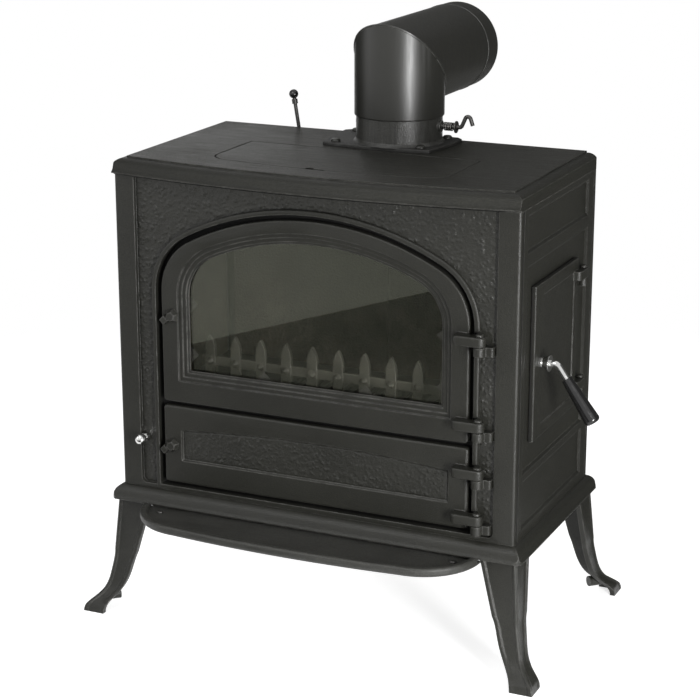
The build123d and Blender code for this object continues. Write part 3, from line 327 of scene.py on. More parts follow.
SOOT_AND_SHADE_DULL = 0.4  # roughness gained under soot and under painted shade
EDGE_BRIGHT = 1.8
SMEAR_SPAN = (0.35, 0.7)


def blank_material(name):
    """Material with only its output; returns material, tree and surface socket."""
    material = bpy.data.materials.new(name)
    material.use_nodes = True
    tree = material.node_tree
    tree.nodes.clear()
    return material, tree, add(tree, "ShaderNodeOutputMaterial").inputs["Surface"]


def new_finish(name):
    """Principled material; returns its tree, and a call that feeds the shader."""
    material, tree, surface = blank_material(name)
    shader = add(tree, "ShaderNodeBsdfPrincipled")
    feed(tree, shader.outputs[0], surface)

    def coat(**sockets):
        wire(tree, shader, sockets)
        return material

    return tree, coat


def drifted(tree, colour, scale, amount):
    return use_group(
        tree, colour_drift, Colour=(*colour, 1), Scale=scale, Amount=amount
    )


def rubbed_edges(tree, radius, breakup, amount):
    return use_group(tree, worn_edges, Radius=radius, Breakup=breakup, Amount=amount)


def painted_iron(name, surface, colour=CHARCOAL, dust=0.0, brush=None):
    """Heat-proof paint on a casting, rubbed at its edges, sooted by the fire and
    darkened by painted shade where the soot attribute says.

    The surface is its roughness, specular level, grain, wave and edge wear.
    """
    roughness, specular, grain, wave, wear = surface
    tree, coat = new_finish(name)
    base = drifted(tree, colour, 7.0, 0.22)
    rubbed = rubbed_edges(tree, 0.0026, 55.0, wear)
    skin = use_group(
        tree,
        cast_grain,
        Scale=PAINT_GRAIN,
        Depth=grain,
        Wave=wave,
        Over=rubbed["Normal"],
    )
    # The soot attribute: real soot, and painted shade in the opening's rebate, the hot
    # plate's gap and at the collar's foot
    soot = add(tree, "ShaderNodeAttribute", {"attribute_name": SOOT_AND_PAINTED_SHADE}).outputs["Fac"]
    shade = blend_colour(tree, rubbed["Mask"], base["Colour"], RUBBED_IRON)
    if dust:
        ash = use_group(tree, settled_dust, Scale=18.0, Amount=dust)
        shade = blend_colour(tree, ash["Mask"], shade, ASH_GREY)
    speck = remap(tree, skin["Height"], *NOISE_SPAN, *PAINT_SPECK)
    gloss = (roughness - PAINT_DRIFT, roughness + PAINT_DRIFT)
    polish = remap(tree, base["Mask"], 0, 1, *gloss)
    pores = remap(tree, skin["Height"], *NOISE_SPAN, *PAINT_PORES)
    polish = times(tree, polish, pores)
    if brush:
        marks = use_group(tree, brush_marks, Counts=brush)["Mask"]
        streak = remap(tree, marks, 0, 1, *STREAK_TONES)
        speck = times(tree, speck, streak)
        polish = times(tree, polish, streak)
    bared = times(tree, rubbed["Mask"], RUBBED_POLISH)
    polish = maths(tree, "SUBTRACT", polish, bared)
    polish = maths(tree, "ADD", polish, times(tree, soot, SOOT_AND_SHADE_DULL), clamp=True)
    return coat(
        Base_Color=blend_colour(tree, soot, tint(tree, shade, speck), SOOT_AND_SHADE_BLACK),
        Roughness=polish,
        Normal=skin["Normal"],
        Specular_IOR_Level=specular,
    )


def sooty_iron(name, colour, ash_amount):
    """Bare casting inside the fire, dulled by soot and pale ash."""
    tree, coat = new_finish(name)
    base = drifted(tree, colour, 14.0, 0.7)
    ash = use_group(tree, settled_dust, Scale=30.0, Amount=ash_amount)
    rubbed = rubbed_edges(tree, 0.0018, 60.0, 0.5)
    skin = use_group(
        tree, cast_grain, Scale=600.0, Depth=0.7, Wave=0.5, Over=rubbed["Normal"]
    )
    shade = blend_colour(tree, rubbed["Mask"], base["Colour"], RUBBED_FIRE_IRON)
    return coat(
        Base_Color=blend_colour(tree, ash["Mask"], shade, FIRE_ASH),
        Roughness=remap(tree, base["Mask"], 0, 1, 0.36, 0.52),
        Normal=skin["Normal"],
        Specular_IOR_Level=0.4,
    )


def bare_metal(name, colour, roughness, streak, metallic, drift):
    """Metal with cloudy oxide and fine streaks that vary its gloss."""
    tree, coat = new_finish(name)
    base = drifted(tree, colour, 40.0, drift)
    rubbed = rubbed_edges(tree, 0.0008, 200.0, 0.5)
    bright = tuple(min(1.0, value * EDGE_BRIGHT) for value in colour)
    lines = noise(tree, place(tree), 420.0, detail=4.0, rough=0.7, warp=0.2)
    gloss = (roughness - streak, roughness + streak)
    return coat(
        Base_Color=blend_colour(tree, rubbed["Mask"], base["Colour"], (*bright, 1)),
        Roughness=remap(tree, lines, *NOISE_SPAN, *gloss),
        Metallic=metallic,
    )


def flue_finish():
    """Satin paint on rolled sheet, with faint marks along the roll."""
    tree, coat = new_finish("flue_satin")
    base = drifted(tree, (0.017, 0.017, 0.0145), 9.0, 0.18)
    rubbed = rubbed_edges(tree, 0.0016, 70.0, 0.7)
    marks = use_group(tree, brush_marks, Counts=(260.0, 260.0, 18.0))["Mask"]
    return coat(
        Base_Color=blend_colour(tree, rubbed["Mask"], base["Colour"], RUBBED_FLUE),
        Roughness=remap(tree, marks, 0, 1, 0.32, 0.4),
        Normal=bump(tree, marks, 0.12, 0.0002),
        Specular_IOR_Level=0.5,
    )


def chrome_finish():
    """Polished plating with faint handling marks."""
    tree, coat = new_finish("chrome_plate")
    smear = noise(tree, place(tree), 150.0, detail=5.0, rough=0.65)
    return coat(
        Base_Color=drifted(tree, (0.62, 0.62, 0.61), 60.0, 0.12)["Colour"],
        Roughness=remap(tree, smear, *SMEAR_SPAN, 0.06, 0.16),
        Metallic=1.0,
    )


def grip_finish():
    """Glossy black resin, slightly wavy from the mould."""
    tree, coat = new_finish("black_resin")
    smear = noise(tree, place(tree), 90.0, detail=5.0, rough=0.65)
    wave = noise(tree, place(tree), 160.0, detail=1.0)
    return coat(
        Base_Color=drifted(tree, (0.009, 0.009, 0.009), 30.0, 0.3)["Colour"],
        Roughness=remap(tree, smear, *SMEAR_SPAN, 0.12, 0.24),
        Normal=bump(tree, wave, 0.05, 0.0005),
    )


def glass_finish():
    """Smoked ceramic glass with a thin uneven film of soot."""
    tree, coat = new_finish("smoked_glass")
    film = drifted(tree, (0.56, 0.56, 0.53), 11.0, 0.25)
    return coat(
        Base_Color=film["Colour"],
        Roughness=remap(tree, film["Mask"], 0, 1, 0.0, 0.02),
        Transmission_Weight=1.0,
        IOR=1.48,
        Specular_Tint=(0.93, 0.97, 0.78, 1),
    )


def rope_finish():
    """Knitted glass rope, greyed by soot, with a fibre grain."""
    tree, coat = new_finish("glass_rope")
    fibre = noise(tree, place(tree), 1800.0, detail=3.0, rough=0.6)
    return coat(
        Base_Color=drifted(tree, (0.2, 0.19, 0.17), 60.0, 0.7)["Colour"],
        Roughness=remap(tree, fibre, *NOISE_SPAN, 0.8, 0.95),
        Normal=bump(tree, fibre, 0.5, 0.0004),
        Specular_IOR_Level=0.2,
    )


def board_finish():
    """Vermiculite board: golden flakes in tan, smoked darker upwards."""
    tree, coat = new_finish("vermiculite")
    where = place(tree)
    flakes = add(tree, "ShaderNodeTexVoronoi", Vector=where, Scale=260.0).outputs
    flake = add(tree, "ShaderNodeSeparateColor", Color=flakes["Color"]).outputs[0]
    flake = remap(tree, flake, 0.0, 1.0, *FLAKE_TONES)
    base = drifted(tree, (0.12, 0.1, 0.072), 9.0, 0.5)
    height = add(tree, "ShaderNodeSeparateXYZ", Vector=where).outputs["Z"]
    edge = noise(tree, where, 12.0, detail=5.0, rough=0.65)
    edge = maths(tree, "SUBTRACT", edge, 0.5)
    smoke = maths(tree, "ADD", remap(tree, height, *SMOKE_RISE), edge)
    smoke = remap(tree, smoke, 0.0, 0.7, 0.55, 0.97)
    shade = tint(tree, base["Colour"], flake)
    return coat(
        Base_Color=blend_colour(tree, smoke, shade, SMOKED_BOARD),
        Roughness=remap(tree, flake, *FLAKE_TONES, 0.8, 0.95),
        Normal=bump(tree, flakes["Distance"], 0.6, 0.0008),
        Specular_IOR_Level=0.2,
    )


plain_paint = painted_iron("plain_paint", (0.36, 0.32, 1.1, 0.35, 0.7), dust=0.03)
door_paint = painted_iron("door_paint", (0.36, 0.32, 1.0, 0.35, 0.7))
hammered_paint = painted_iron("hammered_paint", (0.3, 0.42, 1.3, 0.3, 0.0))
fine_paint = painted_iron("fine_paint", (0.32, 0.4, 0.5, 0.3, 0.8))
top_paint = painted_iron(
    "top_paint", (0.46, 0.2, 1.2, 0.3, 0.6), dust=0.03, brush=(14.0, 420.0, 420.0)
)
# Lighter paint on the ash shelf: painted light on its top, with ash dust on it
shelf_paint = painted_iron(
    "shelf_paint",
    (0.4, 0.36, 0.9, 0.3, 0.7),
    colour=(0.034, 0.034, 0.0305),
    dust=0.1,
    brush=(9.0, 300.0, 300.0),
)
collar_paint = painted_iron(
    "collar_paint",
    (0.33, 0.4, 0.9, 0.3, 0.6),
    colour=(0.03, 0.03, 0.027),
    brush=(240.0, 240.0, 14.0),
)
fence_iron = sooty_iron("fence_iron", (0.034, 0.033, 0.026), 0.25)
glass_rope = rope_finish()
vermiculite = board_finish()

SLOT_FINISH = {
    "stove_paint": plain_paint,
    "cast_inside": sooty_iron("sooty_iron", (0.018, 0.017, 0.015), 0.12),
    "flue_paint": flue_finish(),
    "bright_chrome": chrome_finish(),
    "dark_steel": bare_metal(
        "dark_steel", (0.08, 0.078, 0.075), 0.42, streak=0.12, metallic=0.85, drift=0.5
    ),
    "spring_steel": bare_metal(
        "spring_steel", (0.14, 0.135, 0.13), 0.32, streak=0.1, metallic=0.95, drift=0.3
    ),
    "grip_plastic": grip_finish(),
    "stove_glass": glass_finish(),
    "rope_seal": glass_rope,
    "fire_brick": vermiculite,
    "pan_steel": bare_metal(
        "pan_steel", (0.17, 0.168, 0.165), 0.45, streak=0.12, metallic=0.8, drift=0.5
    ),
}


# Making pieces

WELD = 1e-5  # metres
FLAT_ANGLE = 0.3  # degrees, for joining the facets of a flat face
CREASE = 32.0  # degrees, where a casting's edge is sharp
GROWN_CREASE = 40.0


def keep(name, mesh):
    """Put a mesh in the scene as an object at the origin."""
    made = bpy.data.objects.new(name, mesh)
    scene.collection.objects.link(made)
    return made


def settle(piece):
    """Turn a piece with modifiers into a plain mesh."""
    bpy.context.view_layer.update()
    graph = bpy.context.evaluated_depsgraph_get()
    mesh = bpy.data.meshes.new_from_object(
        piece.evaluated_get(graph), preserve_all_data_layers=True, depsgraph=graph
    )
    name = piece.name
    bpy.data.objects.remove(piece)
    return keep(name, mesh)


def soften(piece, edge, angle):
    """Round the edges that are sharper than an angle, by a width in millimetres."""
    rounding = piece.modifiers.new("soft_edges", "BEVEL")
    rounding.width = edge * MM
    rounding.segments = 2
    rounding.limit_method = "ANGLE"
    rounding.angle_limit = math.radians(angle)
    rounding.harden_normals = True


def hand_over(piece, node, instead=True):
    """Let a piece ride with a CAD node's body, in the node's place or on top of it."""
    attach(piece, NODE_BODY[node])
    if instead:
        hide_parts(node)
    return piece


def dress(node, edge, finish=None, soot_and_shade=None, reshape=None):
    """Copy of a CAD node with softened edges and its finish, in the node's place."""
    mesh = frame["nodes"][node].data.copy()
    form = bmesh.new()
    form.from_mesh(mesh)
    bmesh.ops.remove_doubles(form, verts=form.verts, dist=WELD)
    bmesh.ops.dissolve_limit(
        form, angle_limit=math.radians(FLAT_ANGLE), verts=form.verts, edges=form.edges
    )
    if reshape:
        reshape(form)
    form.to_mesh(mesh)
    form.free()
    mesh.materials.clear()
    mesh.materials.append(finish or SLOT_FINISH[NODE_SLOT[node]])
    for face in mesh.polygons:
        face.material_index = 0
        face.use_smooth = True
    mesh.set_sharp_from_angle(angle=math.radians(CREASE))
    # Soot and painted shade, stored on the points
    if soot_and_shade:
        mark = mesh.attributes.new(SOOT_AND_PAINTED_SHADE, "FLOAT", "POINT")
        for vertex, value in zip(mesh.vertices, mark.data):
            value.value = soot_and_shade(*(vertex.co / MM))
    piece = keep(node + "_dressed", mesh)
    if edge:
        soften(piece, edge, CREASE)
        piece = settle(piece)
    return hand_over(piece, node)


def grow(name, tree, start=None, edge=0.0, wall=0.0, **inputs):
    """Run a geometry tree, from a start mesh if it needs one, and keep a plain mesh."""
    piece = keep(name, start or bpy.data.meshes.new(name))
    grown = piece.modifiers.new("grown", "NODES")
    grown.node_group = tree
    for socket in tree.interface.items_tree:
        label = socket.name.replace(" ", "_")
        if socket.in_out == "INPUT" and label in inputs:
            grown[socket.identifier] = inputs[label]
    if edge:
        soften(piece, edge, GROWN_CREASE)
    if wall:
        thickness = piece.modifiers.new("wall", "SOLIDIFY")
        thickness.thickness = wall * MM
        thickness.offset = -1.0
    return settle(piece)


def shape(tree, kind, **sockets):
    """Add a geometry node and return its first output."""
    return add(tree, "GeometryNode" + kind, **sockets).outputs[0]


def join(tree, parts):
    made = add(tree, "GeometryNodeJoinGeometry")
    for part in parts:
        feed(tree, part, made.inputs[0])
    return made.outputs[0]


def finish_tree(tree, geometry, finish, socket):
    """The end of each geometry tree: real geometry with its finish."""
    solid = shape(tree, "RealizeInstances", Geometry=geometry)
    smooth = shape(tree, "SetShadeSmooth", Geometry=solid)
    dressed = shape(tree, "SetMaterial", Geometry=smooth, Material=finish)
    feed(tree, dressed, socket)


# Geometry trees

FADE = "fade"  # attribute on a sheet's points, 0 at its border and 1 inside
SEED_STEP = (13.1, 7.7, 3.3)
WANDER = (1.4, 0.0, -1.4)
CRUMB_SPAN = (0.62, 0.12)  # distance from a crumb's middle, from its foot to its top
CRUMB_HEIGHTS = (0.1, 1.0)
PATCH_SPAN = (0.3, 0.65)
PATCH_HEIGHTS = (0.5, 1.0)
FINE_HEIGHT = 0.4
BORDER_LEVEL = 0.7  # fade at which the sheet keeps its own level
ROPE_STRANDS = 3
STRAND_SIDES = 7


def make_hammered_tree():
    """Irregular hammered crumbs raised from a sheet, fading out towards its border."""
    tree, given, result = new_group(
        "GeometryNodeTree",
        "hammered_skin",
        {
            "Sheet": GEOMETRY,
            "Outwards": (0.0, -1.0, 0.0),
            "Bump Size": 0.007,
            "Depth": 0.0007,
            "Border Depth": 0.0002,
            "Seed": 1.0,
            "Finish": FINISH,
        },
        {"Skin": GEOMETRY},
    )
    at = shape(tree, "InputPosition")
    at = arrow(tree, "ADD", at, arrow(tree, "SCALE", SEED_STEP, given["Seed"]))
    scale = maths(tree, "DIVIDE", 1.0, given["Bump Size"])
    drift = noise(tree, at, times(tree, scale, 0.8))
    drift = times(tree, maths(tree, "SUBTRACT", drift, 0.5), given["Bump Size"])
    cells = add(
        tree,
        "ShaderNodeTexVoronoi",
        {"feature": "SMOOTH_F1"},
        Vector=arrow(tree, "ADD", at, arrow(tree, "SCALE", WANDER, drift)),
        Scale=scale,
        Smoothness=0.25,
    ).outputs
    own = add(tree, "ShaderNodeSeparateXYZ", Vector=cells["Color"]).outputs[0]
    own = remap(tree, own, 0.0, 1.0, *CRUMB_HEIGHTS)
    fine = noise(tree, at, times(tree, scale, 2.3), warp=0.3)
    patch = noise(tree, at, times(tree, scale, 0.12), detail=1.0)
    patch = remap(tree, patch, *PATCH_SPAN, *PATCH_HEIGHTS)
    crumbs = remap(tree, cells["Distance"], *CRUMB_SPAN, smooth=True)
    crumbs = times(tree, crumbs, own, patch)
    crumbs = maths(tree, "ADD", crumbs, times(tree, fine, FINE_HEIGHT))
    fade = add(tree, "GeometryNodeInputNamedAttribute", Name=FADE)
    fade = fade.outputs["Attribute"]
    lift = times(tree, crumbs, given["Depth"], fade)
    sink = maths(tree, "SUBTRACT", BORDER_LEVEL, fade)
    lift = maths(tree, "SUBTRACT", lift, times(tree, sink, given["Border Depth"]))
    offset = arrow(tree, "SCALE", given["Outwards"], lift)
    skin = shape(tree, "SetPosition", Geometry=given["Sheet"], Offset=offset)
    finish_tree(tree, skin, given["Finish"], result["Skin"])
    return tree


def make_rope_tree():
    """Three strands laid round a closed flat path."""
    tree, given, result = new_group(
        "GeometryNodeTree",
        "laid_rope",
        {
            "Path": GEOMETRY,
            "Across": (0.0, 1.0, 0.0),
            "Strand Radius": 0.0012,
            "Lay Sideways": 0.0017,
            "Lay Across": 0.0011,
            "Turns": 100.0,
            "Steps": 600,
            "Finish": FINISH,
        },
        {"Rope": GEOMETRY},
    )
    path = shape(tree, "MeshToCurve", Mesh=given["Path"])
    even = shape(tree, "ResampleCurve", Curve=path, Count=given["Steps"])
    tangent = shape(tree, "InputTangent")
    sideways = arrow(tree, "CROSS_PRODUCT", tangent, given["Across"])
    section = shape(
        tree,
        "CurvePrimitiveCircle",
        Resolution=STRAND_SIDES,
        Radius=given["Strand Radius"],
    )
    along = add(tree, "GeometryNodeSplineParameter").outputs["Factor"]
    twist = times(tree, along, times(tree, given["Turns"], math.tau))
    strands = []
    for strand in range(ROPE_STRANDS):
        turn = maths(tree, "ADD", twist, strand * math.tau / ROPE_STRANDS)
        out = times(tree, maths(tree, "COSINE", turn), given["Lay Sideways"])
        up = times(tree, maths(tree, "SINE", turn), given["Lay Across"])
        out = arrow(tree, "SCALE", sideways, out)
        up = arrow(tree, "SCALE", given["Across"], up)
        offset = arrow(tree, "ADD", out, up)
        laid = shape(tree, "SetPosition", Geometry=even, Offset=offset)
        strands.append(shape(tree, "CurveToMesh", Curve=laid, Profile_Curve=section))
    finish_tree(tree, join(tree, strands), given["Finish"], result["Rope"])
    return tree


ROW = {"Count": 2, "First": VECTOR, "Pitch": VECTOR}


def row_of_points(tree, given):
    """Points on a line, from the inputs that ROW names."""
    line = add(
        tree,
        "GeometryNodeMeshLine",
        {"mode": "OFFSET"},
        Count=given["Count"],
        Start_Location=given["First"],
        Offset=given["Pitch"],
    )
    return line.outputs[0]


def make_picket_tree():
    """One shape repeated along a line, with a rail through the row."""
    tree, given, result = new_group(
        "GeometryNodeTree",
        "picket_row",
        {
            "Picket": SHAPE,
            **ROW,
            "Rail Size": VECTOR,
            "Rail Centre": VECTOR,
            "Finish": FINISH,
        },
        {"Row": GEOMETRY},
    )
    points = row_of_points(tree, given)
    bar = add(tree, "GeometryNodeObjectInfo", Object=given["Picket"])
    bar = bar.outputs["Geometry"]
    pickets = shape(tree, "InstanceOnPoints", Points=points, Instance=bar)
    rail = shape(tree, "MeshCube", Size=given["Rail Size"])
    rail = shape(tree, "Transform", Geometry=rail, Translation=given["Rail Centre"])
    finish_tree(tree, join(tree, (pickets, rail)), given["Finish"], result["Row"])
    return tree


def make_board_tree():
    """Fire boards side by side with open joints, each set a hair off true."""
    tree, given, result = new_group(
        "GeometryNodeTree",
        "board_wall",
        {**ROW, "Board": VECTOR, "Slack": 0.002, "Seed": 3, "Finish": FINISH},
        {"Wall": GEOMETRY},
    )
    turn = add(
        tree,
        "FunctionNodeRandomValue",
        {"data_type": "FLOAT_VECTOR"},
        Seed=given["Seed"],
    )
    turn = arrow(tree, "SUBTRACT", turn.outputs[0], (0.5, 0.5, 0.5))
    boards = shape(
        tree,
        "InstanceOnPoints",
        Points=row_of_points(tree, given),
        Instance=shape(tree, "MeshCube", Size=given["Board"]),
        Rotation=arrow(tree, "SCALE", turn, given["Slack"]),
    )
    finish_tree(tree, boards, given["Finish"], result["Wall"])
    return tree


hammered_tree = make_hammered_tree()
rope_tree = make_rope_tree()
picket_tree = make_picket_tree()
board_tree = make_board_tree()


# Where soot lies on the castings, and where shade is painted on them

# Three-centred arches: half width, apex height, crown radius, haunch radius
RIM_ARCH = (286.5, 724.6, 480.0, 115.0)
GLASS_ARCH = (222.0, 668.0, 430.0, 75.0)
JAMB_IN = 7.4  # from the rim's outside to inside its bead
JAMB_Y = -176.5
FRONT_INSIDE_Y = -166.5
DOOR_FRONT = -178.5
DOOR_REBATE_Y = -169.0
SIDE_DOOR_REBATE_X = 349.0
WALL_INSIDE = (341.5, 171.5)
TOP_UNDER_Z = 757.5
TOP_INSIDE_X = 330.0
TOP_FACE_Z = 782.0
HOLE_HALF = 210.0
HOLE_Y = (-150.0, 33.0)
HOT_PLATE_FACE_Z = 781.0
COLLAR_FOOT_Z = 790.0
# Strength of the painted shade on the collar's foot plate
COLLAR_FOOT_PAINTED_SHADE = 0.6


def arch_centres(half, apex, crown, haunch):
    """Height of the crown's centre, and of the springing line."""
    crown_z = apex - crown
    spring = crown_z + math.sqrt((crown - haunch) ** 2 - (half - haunch) ** 2)
    return crown_z, spring


def depth_in_arch(x, z, arch):
    """How far points lie inside an arch, negative outside."""
    half, apex, crown, haunch = arch
    crown_z, spring = arch_centres(*arch)
    x = np.abs(x)
    slope = (half - haunch) / (spring - crown_z)
    to_crown = crown - np.hypot(x, z - crown_z)
    to_haunch = haunch - np.hypot(x - (half - haunch), z - spring)
    upper = np.where(x < (z - crown_z) * slope, to_crown, to_haunch)
    return np.where(z < spring, half - x, upper)


def jamb_shade_and_soot(x, y, z):
    """Painted shade on the rebate of the front opening, and soot on the plate's inner
    side.
    """
    in_jamb = y > JAMB_Y and depth_in_arch(x, z, RIM_ARCH) > JAMB_IN
    return float(y > FRONT_INSIDE_Y or in_jamb)


def door_soot(x, y, z):
    return float(y > DOOR_REBATE_Y)


def side_door_soot(x, y, z):
    return float(x < SIDE_DOOR_REBATE_X)


def wall_soot(x, y, z):
    """The inner side of the body's walls."""
    return float(abs(x) < WALL_INSIDE[0] and abs(y) < WALL_INSIDE[1])


def top_gap_shade_and_soot(x, y, z):
    """Painted shade on the walls of the hole for the hot plate, and soot on the
    underside of the top.
    """
    in_hole = abs(x) < HOLE_HALF and HOLE_Y[0] < y < HOLE_Y[1] and z < TOP_FACE_Z
    return float(in_hole or z < TOP_UNDER_Z and abs(x) < TOP_INSIDE_X)


def hot_plate_gap_shade_and_soot(x, y, z):
    # Below its face: painted shade on the plate's edge in the gap, and soot underneath
    return float(z < HOT_PLATE_FACE_Z)


def collar_foot_painted_shade(x, y, z):
    """Painted shade on the collar's foot plate, to make it as dark as the top that it
    sits on.
    """
    return COLLAR_FOOT_PAINTED_SHADE if z < COLLAR_FOOT_Z else 0.0


# Castings and fittings that keep their solid's shape, apart from rounded base corners
# and filled feet

BASE_REACH = (367.4, 197.4)  # of the flare, from the middle
BASE_ROUND = 15.0
BASE_CUTS = (22.5, 45.0, 67.5)  # degrees
BODY_HALF = (350.0, 180.0)
LEG_HEIGHTS = (0.0, 12.0, 27.0, 43.0)
LEG_OUTSETS = (55.0, 52.0, 37.0, 26.5)  # beyond the body, at those heights
FOOT_FADE = (34.0, 14.0)  # heights between which the sunk faces run out
PANEL_SUNK = 3.2
LEGS = ("leg_front_left", "leg_front_right", "leg_back_left", "leg_back_right")


def round_base(form):
    """Round the four outer corners of the base casting's flare."""
    for side_x in (-1, 1):
        for side_y in (-1, 1):
            middle = Vector((side_x * (BASE_REACH[0] - BASE_ROUND), 0, 0))
            middle.y = side_y * (BASE_REACH[1] - BASE_ROUND)
            for turn in BASE_CUTS:
                angle = math.radians(turn)
                out = Vector((side_x * math.cos(angle), side_y * math.sin(angle), 0))
                cut = bmesh.ops.bisect_plane(
                    form,
                    geom=form.verts[:] + form.edges[:] + form.faces[:],
                    plane_co=(middle + out * BASE_ROUND) * MM,
                    plane_no=out,
                    clear_outer=True,
                )["geom_cut"]
                rim = [edge for edge in cut if isinstance(edge, bmesh.types.BMEdge)]
                bmesh.ops.edgeloop_fill(form, edges=rim)
    bmesh.ops.recalc_face_normals(form, faces=form.faces)


def fill_foot(form):
    """Let a leg's sunk faces run out flush above its sole."""
    for vertex in form.verts:
        height = vertex.co.z / MM
        if height > FOOT_FADE[0]:
            continue
        amount = min(1.0, (FOOT_FADE[0] - height) / (FOOT_FADE[0] - FOOT_FADE[1]))
        outset = float(np.interp(height, LEG_HEIGHTS, LEG_OUTSETS))
        for axis, half in enumerate(BODY_HALF):
            gap = half + outset - abs(vertex.co[axis]) / MM
            if 0.0 < gap < PANEL_SUNK:
                vertex.co[axis] += math.copysign(gap * amount * MM, vertex.co[axis])


# Edge rounding, finish, and soot with painted shade
CASTINGS = {
    "base_plate": (1.0, plain_paint),
    "front_plate": (0.7, plain_paint, jamb_shade_and_soot),
    "left_plate": (1.0, plain_paint, wall_soot),
    "right_plate": (0.8, plain_paint, wall_soot),
    "back_plate": (1.0, plain_paint, wall_soot),
    "top_plate": (0.9, top_paint, top_gap_shade_and_soot),
    "hot_plate": (1.6, top_paint, hot_plate_gap_shade_and_soot),
    **dict.fromkeys(LEGS, (1.4, plain_paint)),
    "ash_shelf": (0.8, shelf_paint),
    "shelf_brackets": (0.5, plain_paint),
    "flue_collar": (0.8, collar_paint, collar_foot_painted_shade),
    "fire_door": (0.6, door_paint, door_soot),
    "ash_door": (0.7, door_paint, door_soot),
    "side_door": (0.6, door_paint, side_door_soot),
    "fire_door_latch": (0.5, fine_paint),
    "ash_door_latch": (0.5, fine_paint),
    "collar_bolts": (0.4, fine_paint),
    "front_hinge_pins": (0.3, fine_paint),
    "side_hinge_pins": (0.3, fine_paint),
    "rear_shutter": (0.4, fine_paint),
}
RESHAPES = {"base_plate": round_base, **dict.fromkeys(LEGS, fill_foot)}
FITTING_EDGE = {
    "flue_elbow": 0.3,
    "damper_plate": 0.4,
    "damper_spindle": 0.0,
    "damper_spring": 0.0,
    "damper_washer": 0.3,
    "hearth_plate": 0.8,
    "fire_grate": 0.8,
    "baffle_plate": 0.8,
    "leg_bolts": 0.5,
    "shelf_screws": 0.3,
    "clip_screws": 0.3,
    "glass_clips": 0.2,
    "fire_latch_washer": 0.2,
    "ash_latch_washer": 0.2,
    "side_latch_cam": 0.4,
    "side_handle_stem": 0.3,
    "side_handle_grip": 0.3,
    "air_knob": 0.4,
    "air_rod": 0.3,
    "air_lever": 0.3,
    "air_lever_ball": 0.0,
    "lever_pivot_bolt": 0.5,
    "ash_pan": 0.5,
    "ash_pan_runners": 0.8,
    "tie_rods": 0.4,
    "door_glass": 0.3,
    "glass_gasket": 0.3,
}

for node, row in CASTINGS.items():
    dress(node, *row, reshape=RESHAPES.get(node))
fittings = {node: dress(node, edge) for node, edge in FITTING_EDGE.items()}
fittings["door_glass"].visible_shadow = False


# Hammered skins on the front field and on the ash door's panel

SKIN_STEP = 1.25
SKIN_WALL = 1.2
SKIN_FADE = 2.5
SKIN_SPARE = 0.4  # past the border
FIELD_Y = -173.0
FIELD_HALF = 314.0
FIELD_Z = (230.0, 753.5)
FIELD_CORNER = 8.0
BEAD_COVER = 3.5
KNOB_XZ = (-305.5, 311.0)
KNOB_CLEAR = 7.0
PANEL_Y = DOOR_FRONT + 4.0
PANEL_HALF = 238.0
PANEL_Z = (277.0, 330.5)
PANEL_RISE = 12.0
PANEL_SLOPE = 2.3


def flat_sheet(name, face_y, x_reach, z_span, border_of):
    """Square grid facing the front, cut to a border and fading towards it."""
    x, z = np.meshgrid(
        np.arange(-x_reach, x_reach + SKIN_STEP, SKIN_STEP),
        np.arange(z_span[0], z_span[1] + SKIN_STEP, SKIN_STEP),
    )
    border, shown = border_of(x, z)
    cells = shown[:-1, :-1] & shown[:-1, 1:] & shown[1:, 1:] & shown[1:, :-1]
    used = np.zeros(x.shape, bool)
    for rows in (slice(None, -1), slice(1, None)):
        for columns in (slice(None, -1), slice(1, None)):
            used[rows, columns] |= cells
    number = np.zeros(x.shape, int)
    number[used] = np.arange(used.sum())
    corners = (number[:-1, :-1], number[:-1, 1:], number[1:, 1:], number[1:, :-1])
    faces = np.stack([corner[cells] for corner in corners], axis=1)
    points = np.stack([x[used], np.full(used.sum(), face_y), z[used]], axis=1) * MM
    mesh = bpy.data.meshes.new(name)
    mesh.from_pydata(points.tolist(), [], faces.tolist())
    inner = np.clip(border[used] / SKIN_FADE, 0, 1).astype("f4")
    mesh.attributes.new(FADE, "FLOAT", "POINT").data.foreach_set("value", inner)
    return mesh


def field_border(x, z):
    """Front field: between the posts, outside the bead and round the air knob."""
    side = FIELD_HALF - np.abs(x)
    foot = z - FIELD_Z[0]
    rounded = FIELD_CORNER - np.hypot(
        np.maximum(FIELD_CORNER - side, 0), np.maximum(FIELD_CORNER - foot, 0)
    )
    border = np.minimum(np.minimum(side, foot), rounded)
    knob = np.hypot(x - KNOB_XZ[0], z - KNOB_XZ[1]) - KNOB_CLEAR
    border = np.minimum(border, knob)
    outside = depth_in_arch(x, z, RIM_ARCH) < BEAD_COVER
    return border, (border > -SKIN_SPARE) & outside


def panel_border(x, z):
    """Floor of the ash door's sunk panel, with its gently arched top."""
    radius = (PANEL_HALF**2 + PANEL_RISE**2) / (2 * PANEL_RISE)
    top = radius - np.hypot(x, z - (PANEL_Z[1] + PANEL_RISE - radius))
    border = np.minimum(PANEL_HALF - np.abs(x), np.minimum(z - PANEL_Z[0], top))
    border = border - PANEL_SLOPE
    return border, border > -SKIN_SPARE


def hammered_skin(name, node, sheet, bump_size, depth, seed):
    """Hammered sheet that lies on a casting."""
    skin = grow(
        name,
        hammered_tree,
        sheet,
        wall=SKIN_WALL,
        Bump_Size=bump_size,
        Depth=depth,
        Border_Depth=0.0004,
        Seed=seed,
        Finish=hammered_paint,
    )
    hand_over(skin, node, instead=False)


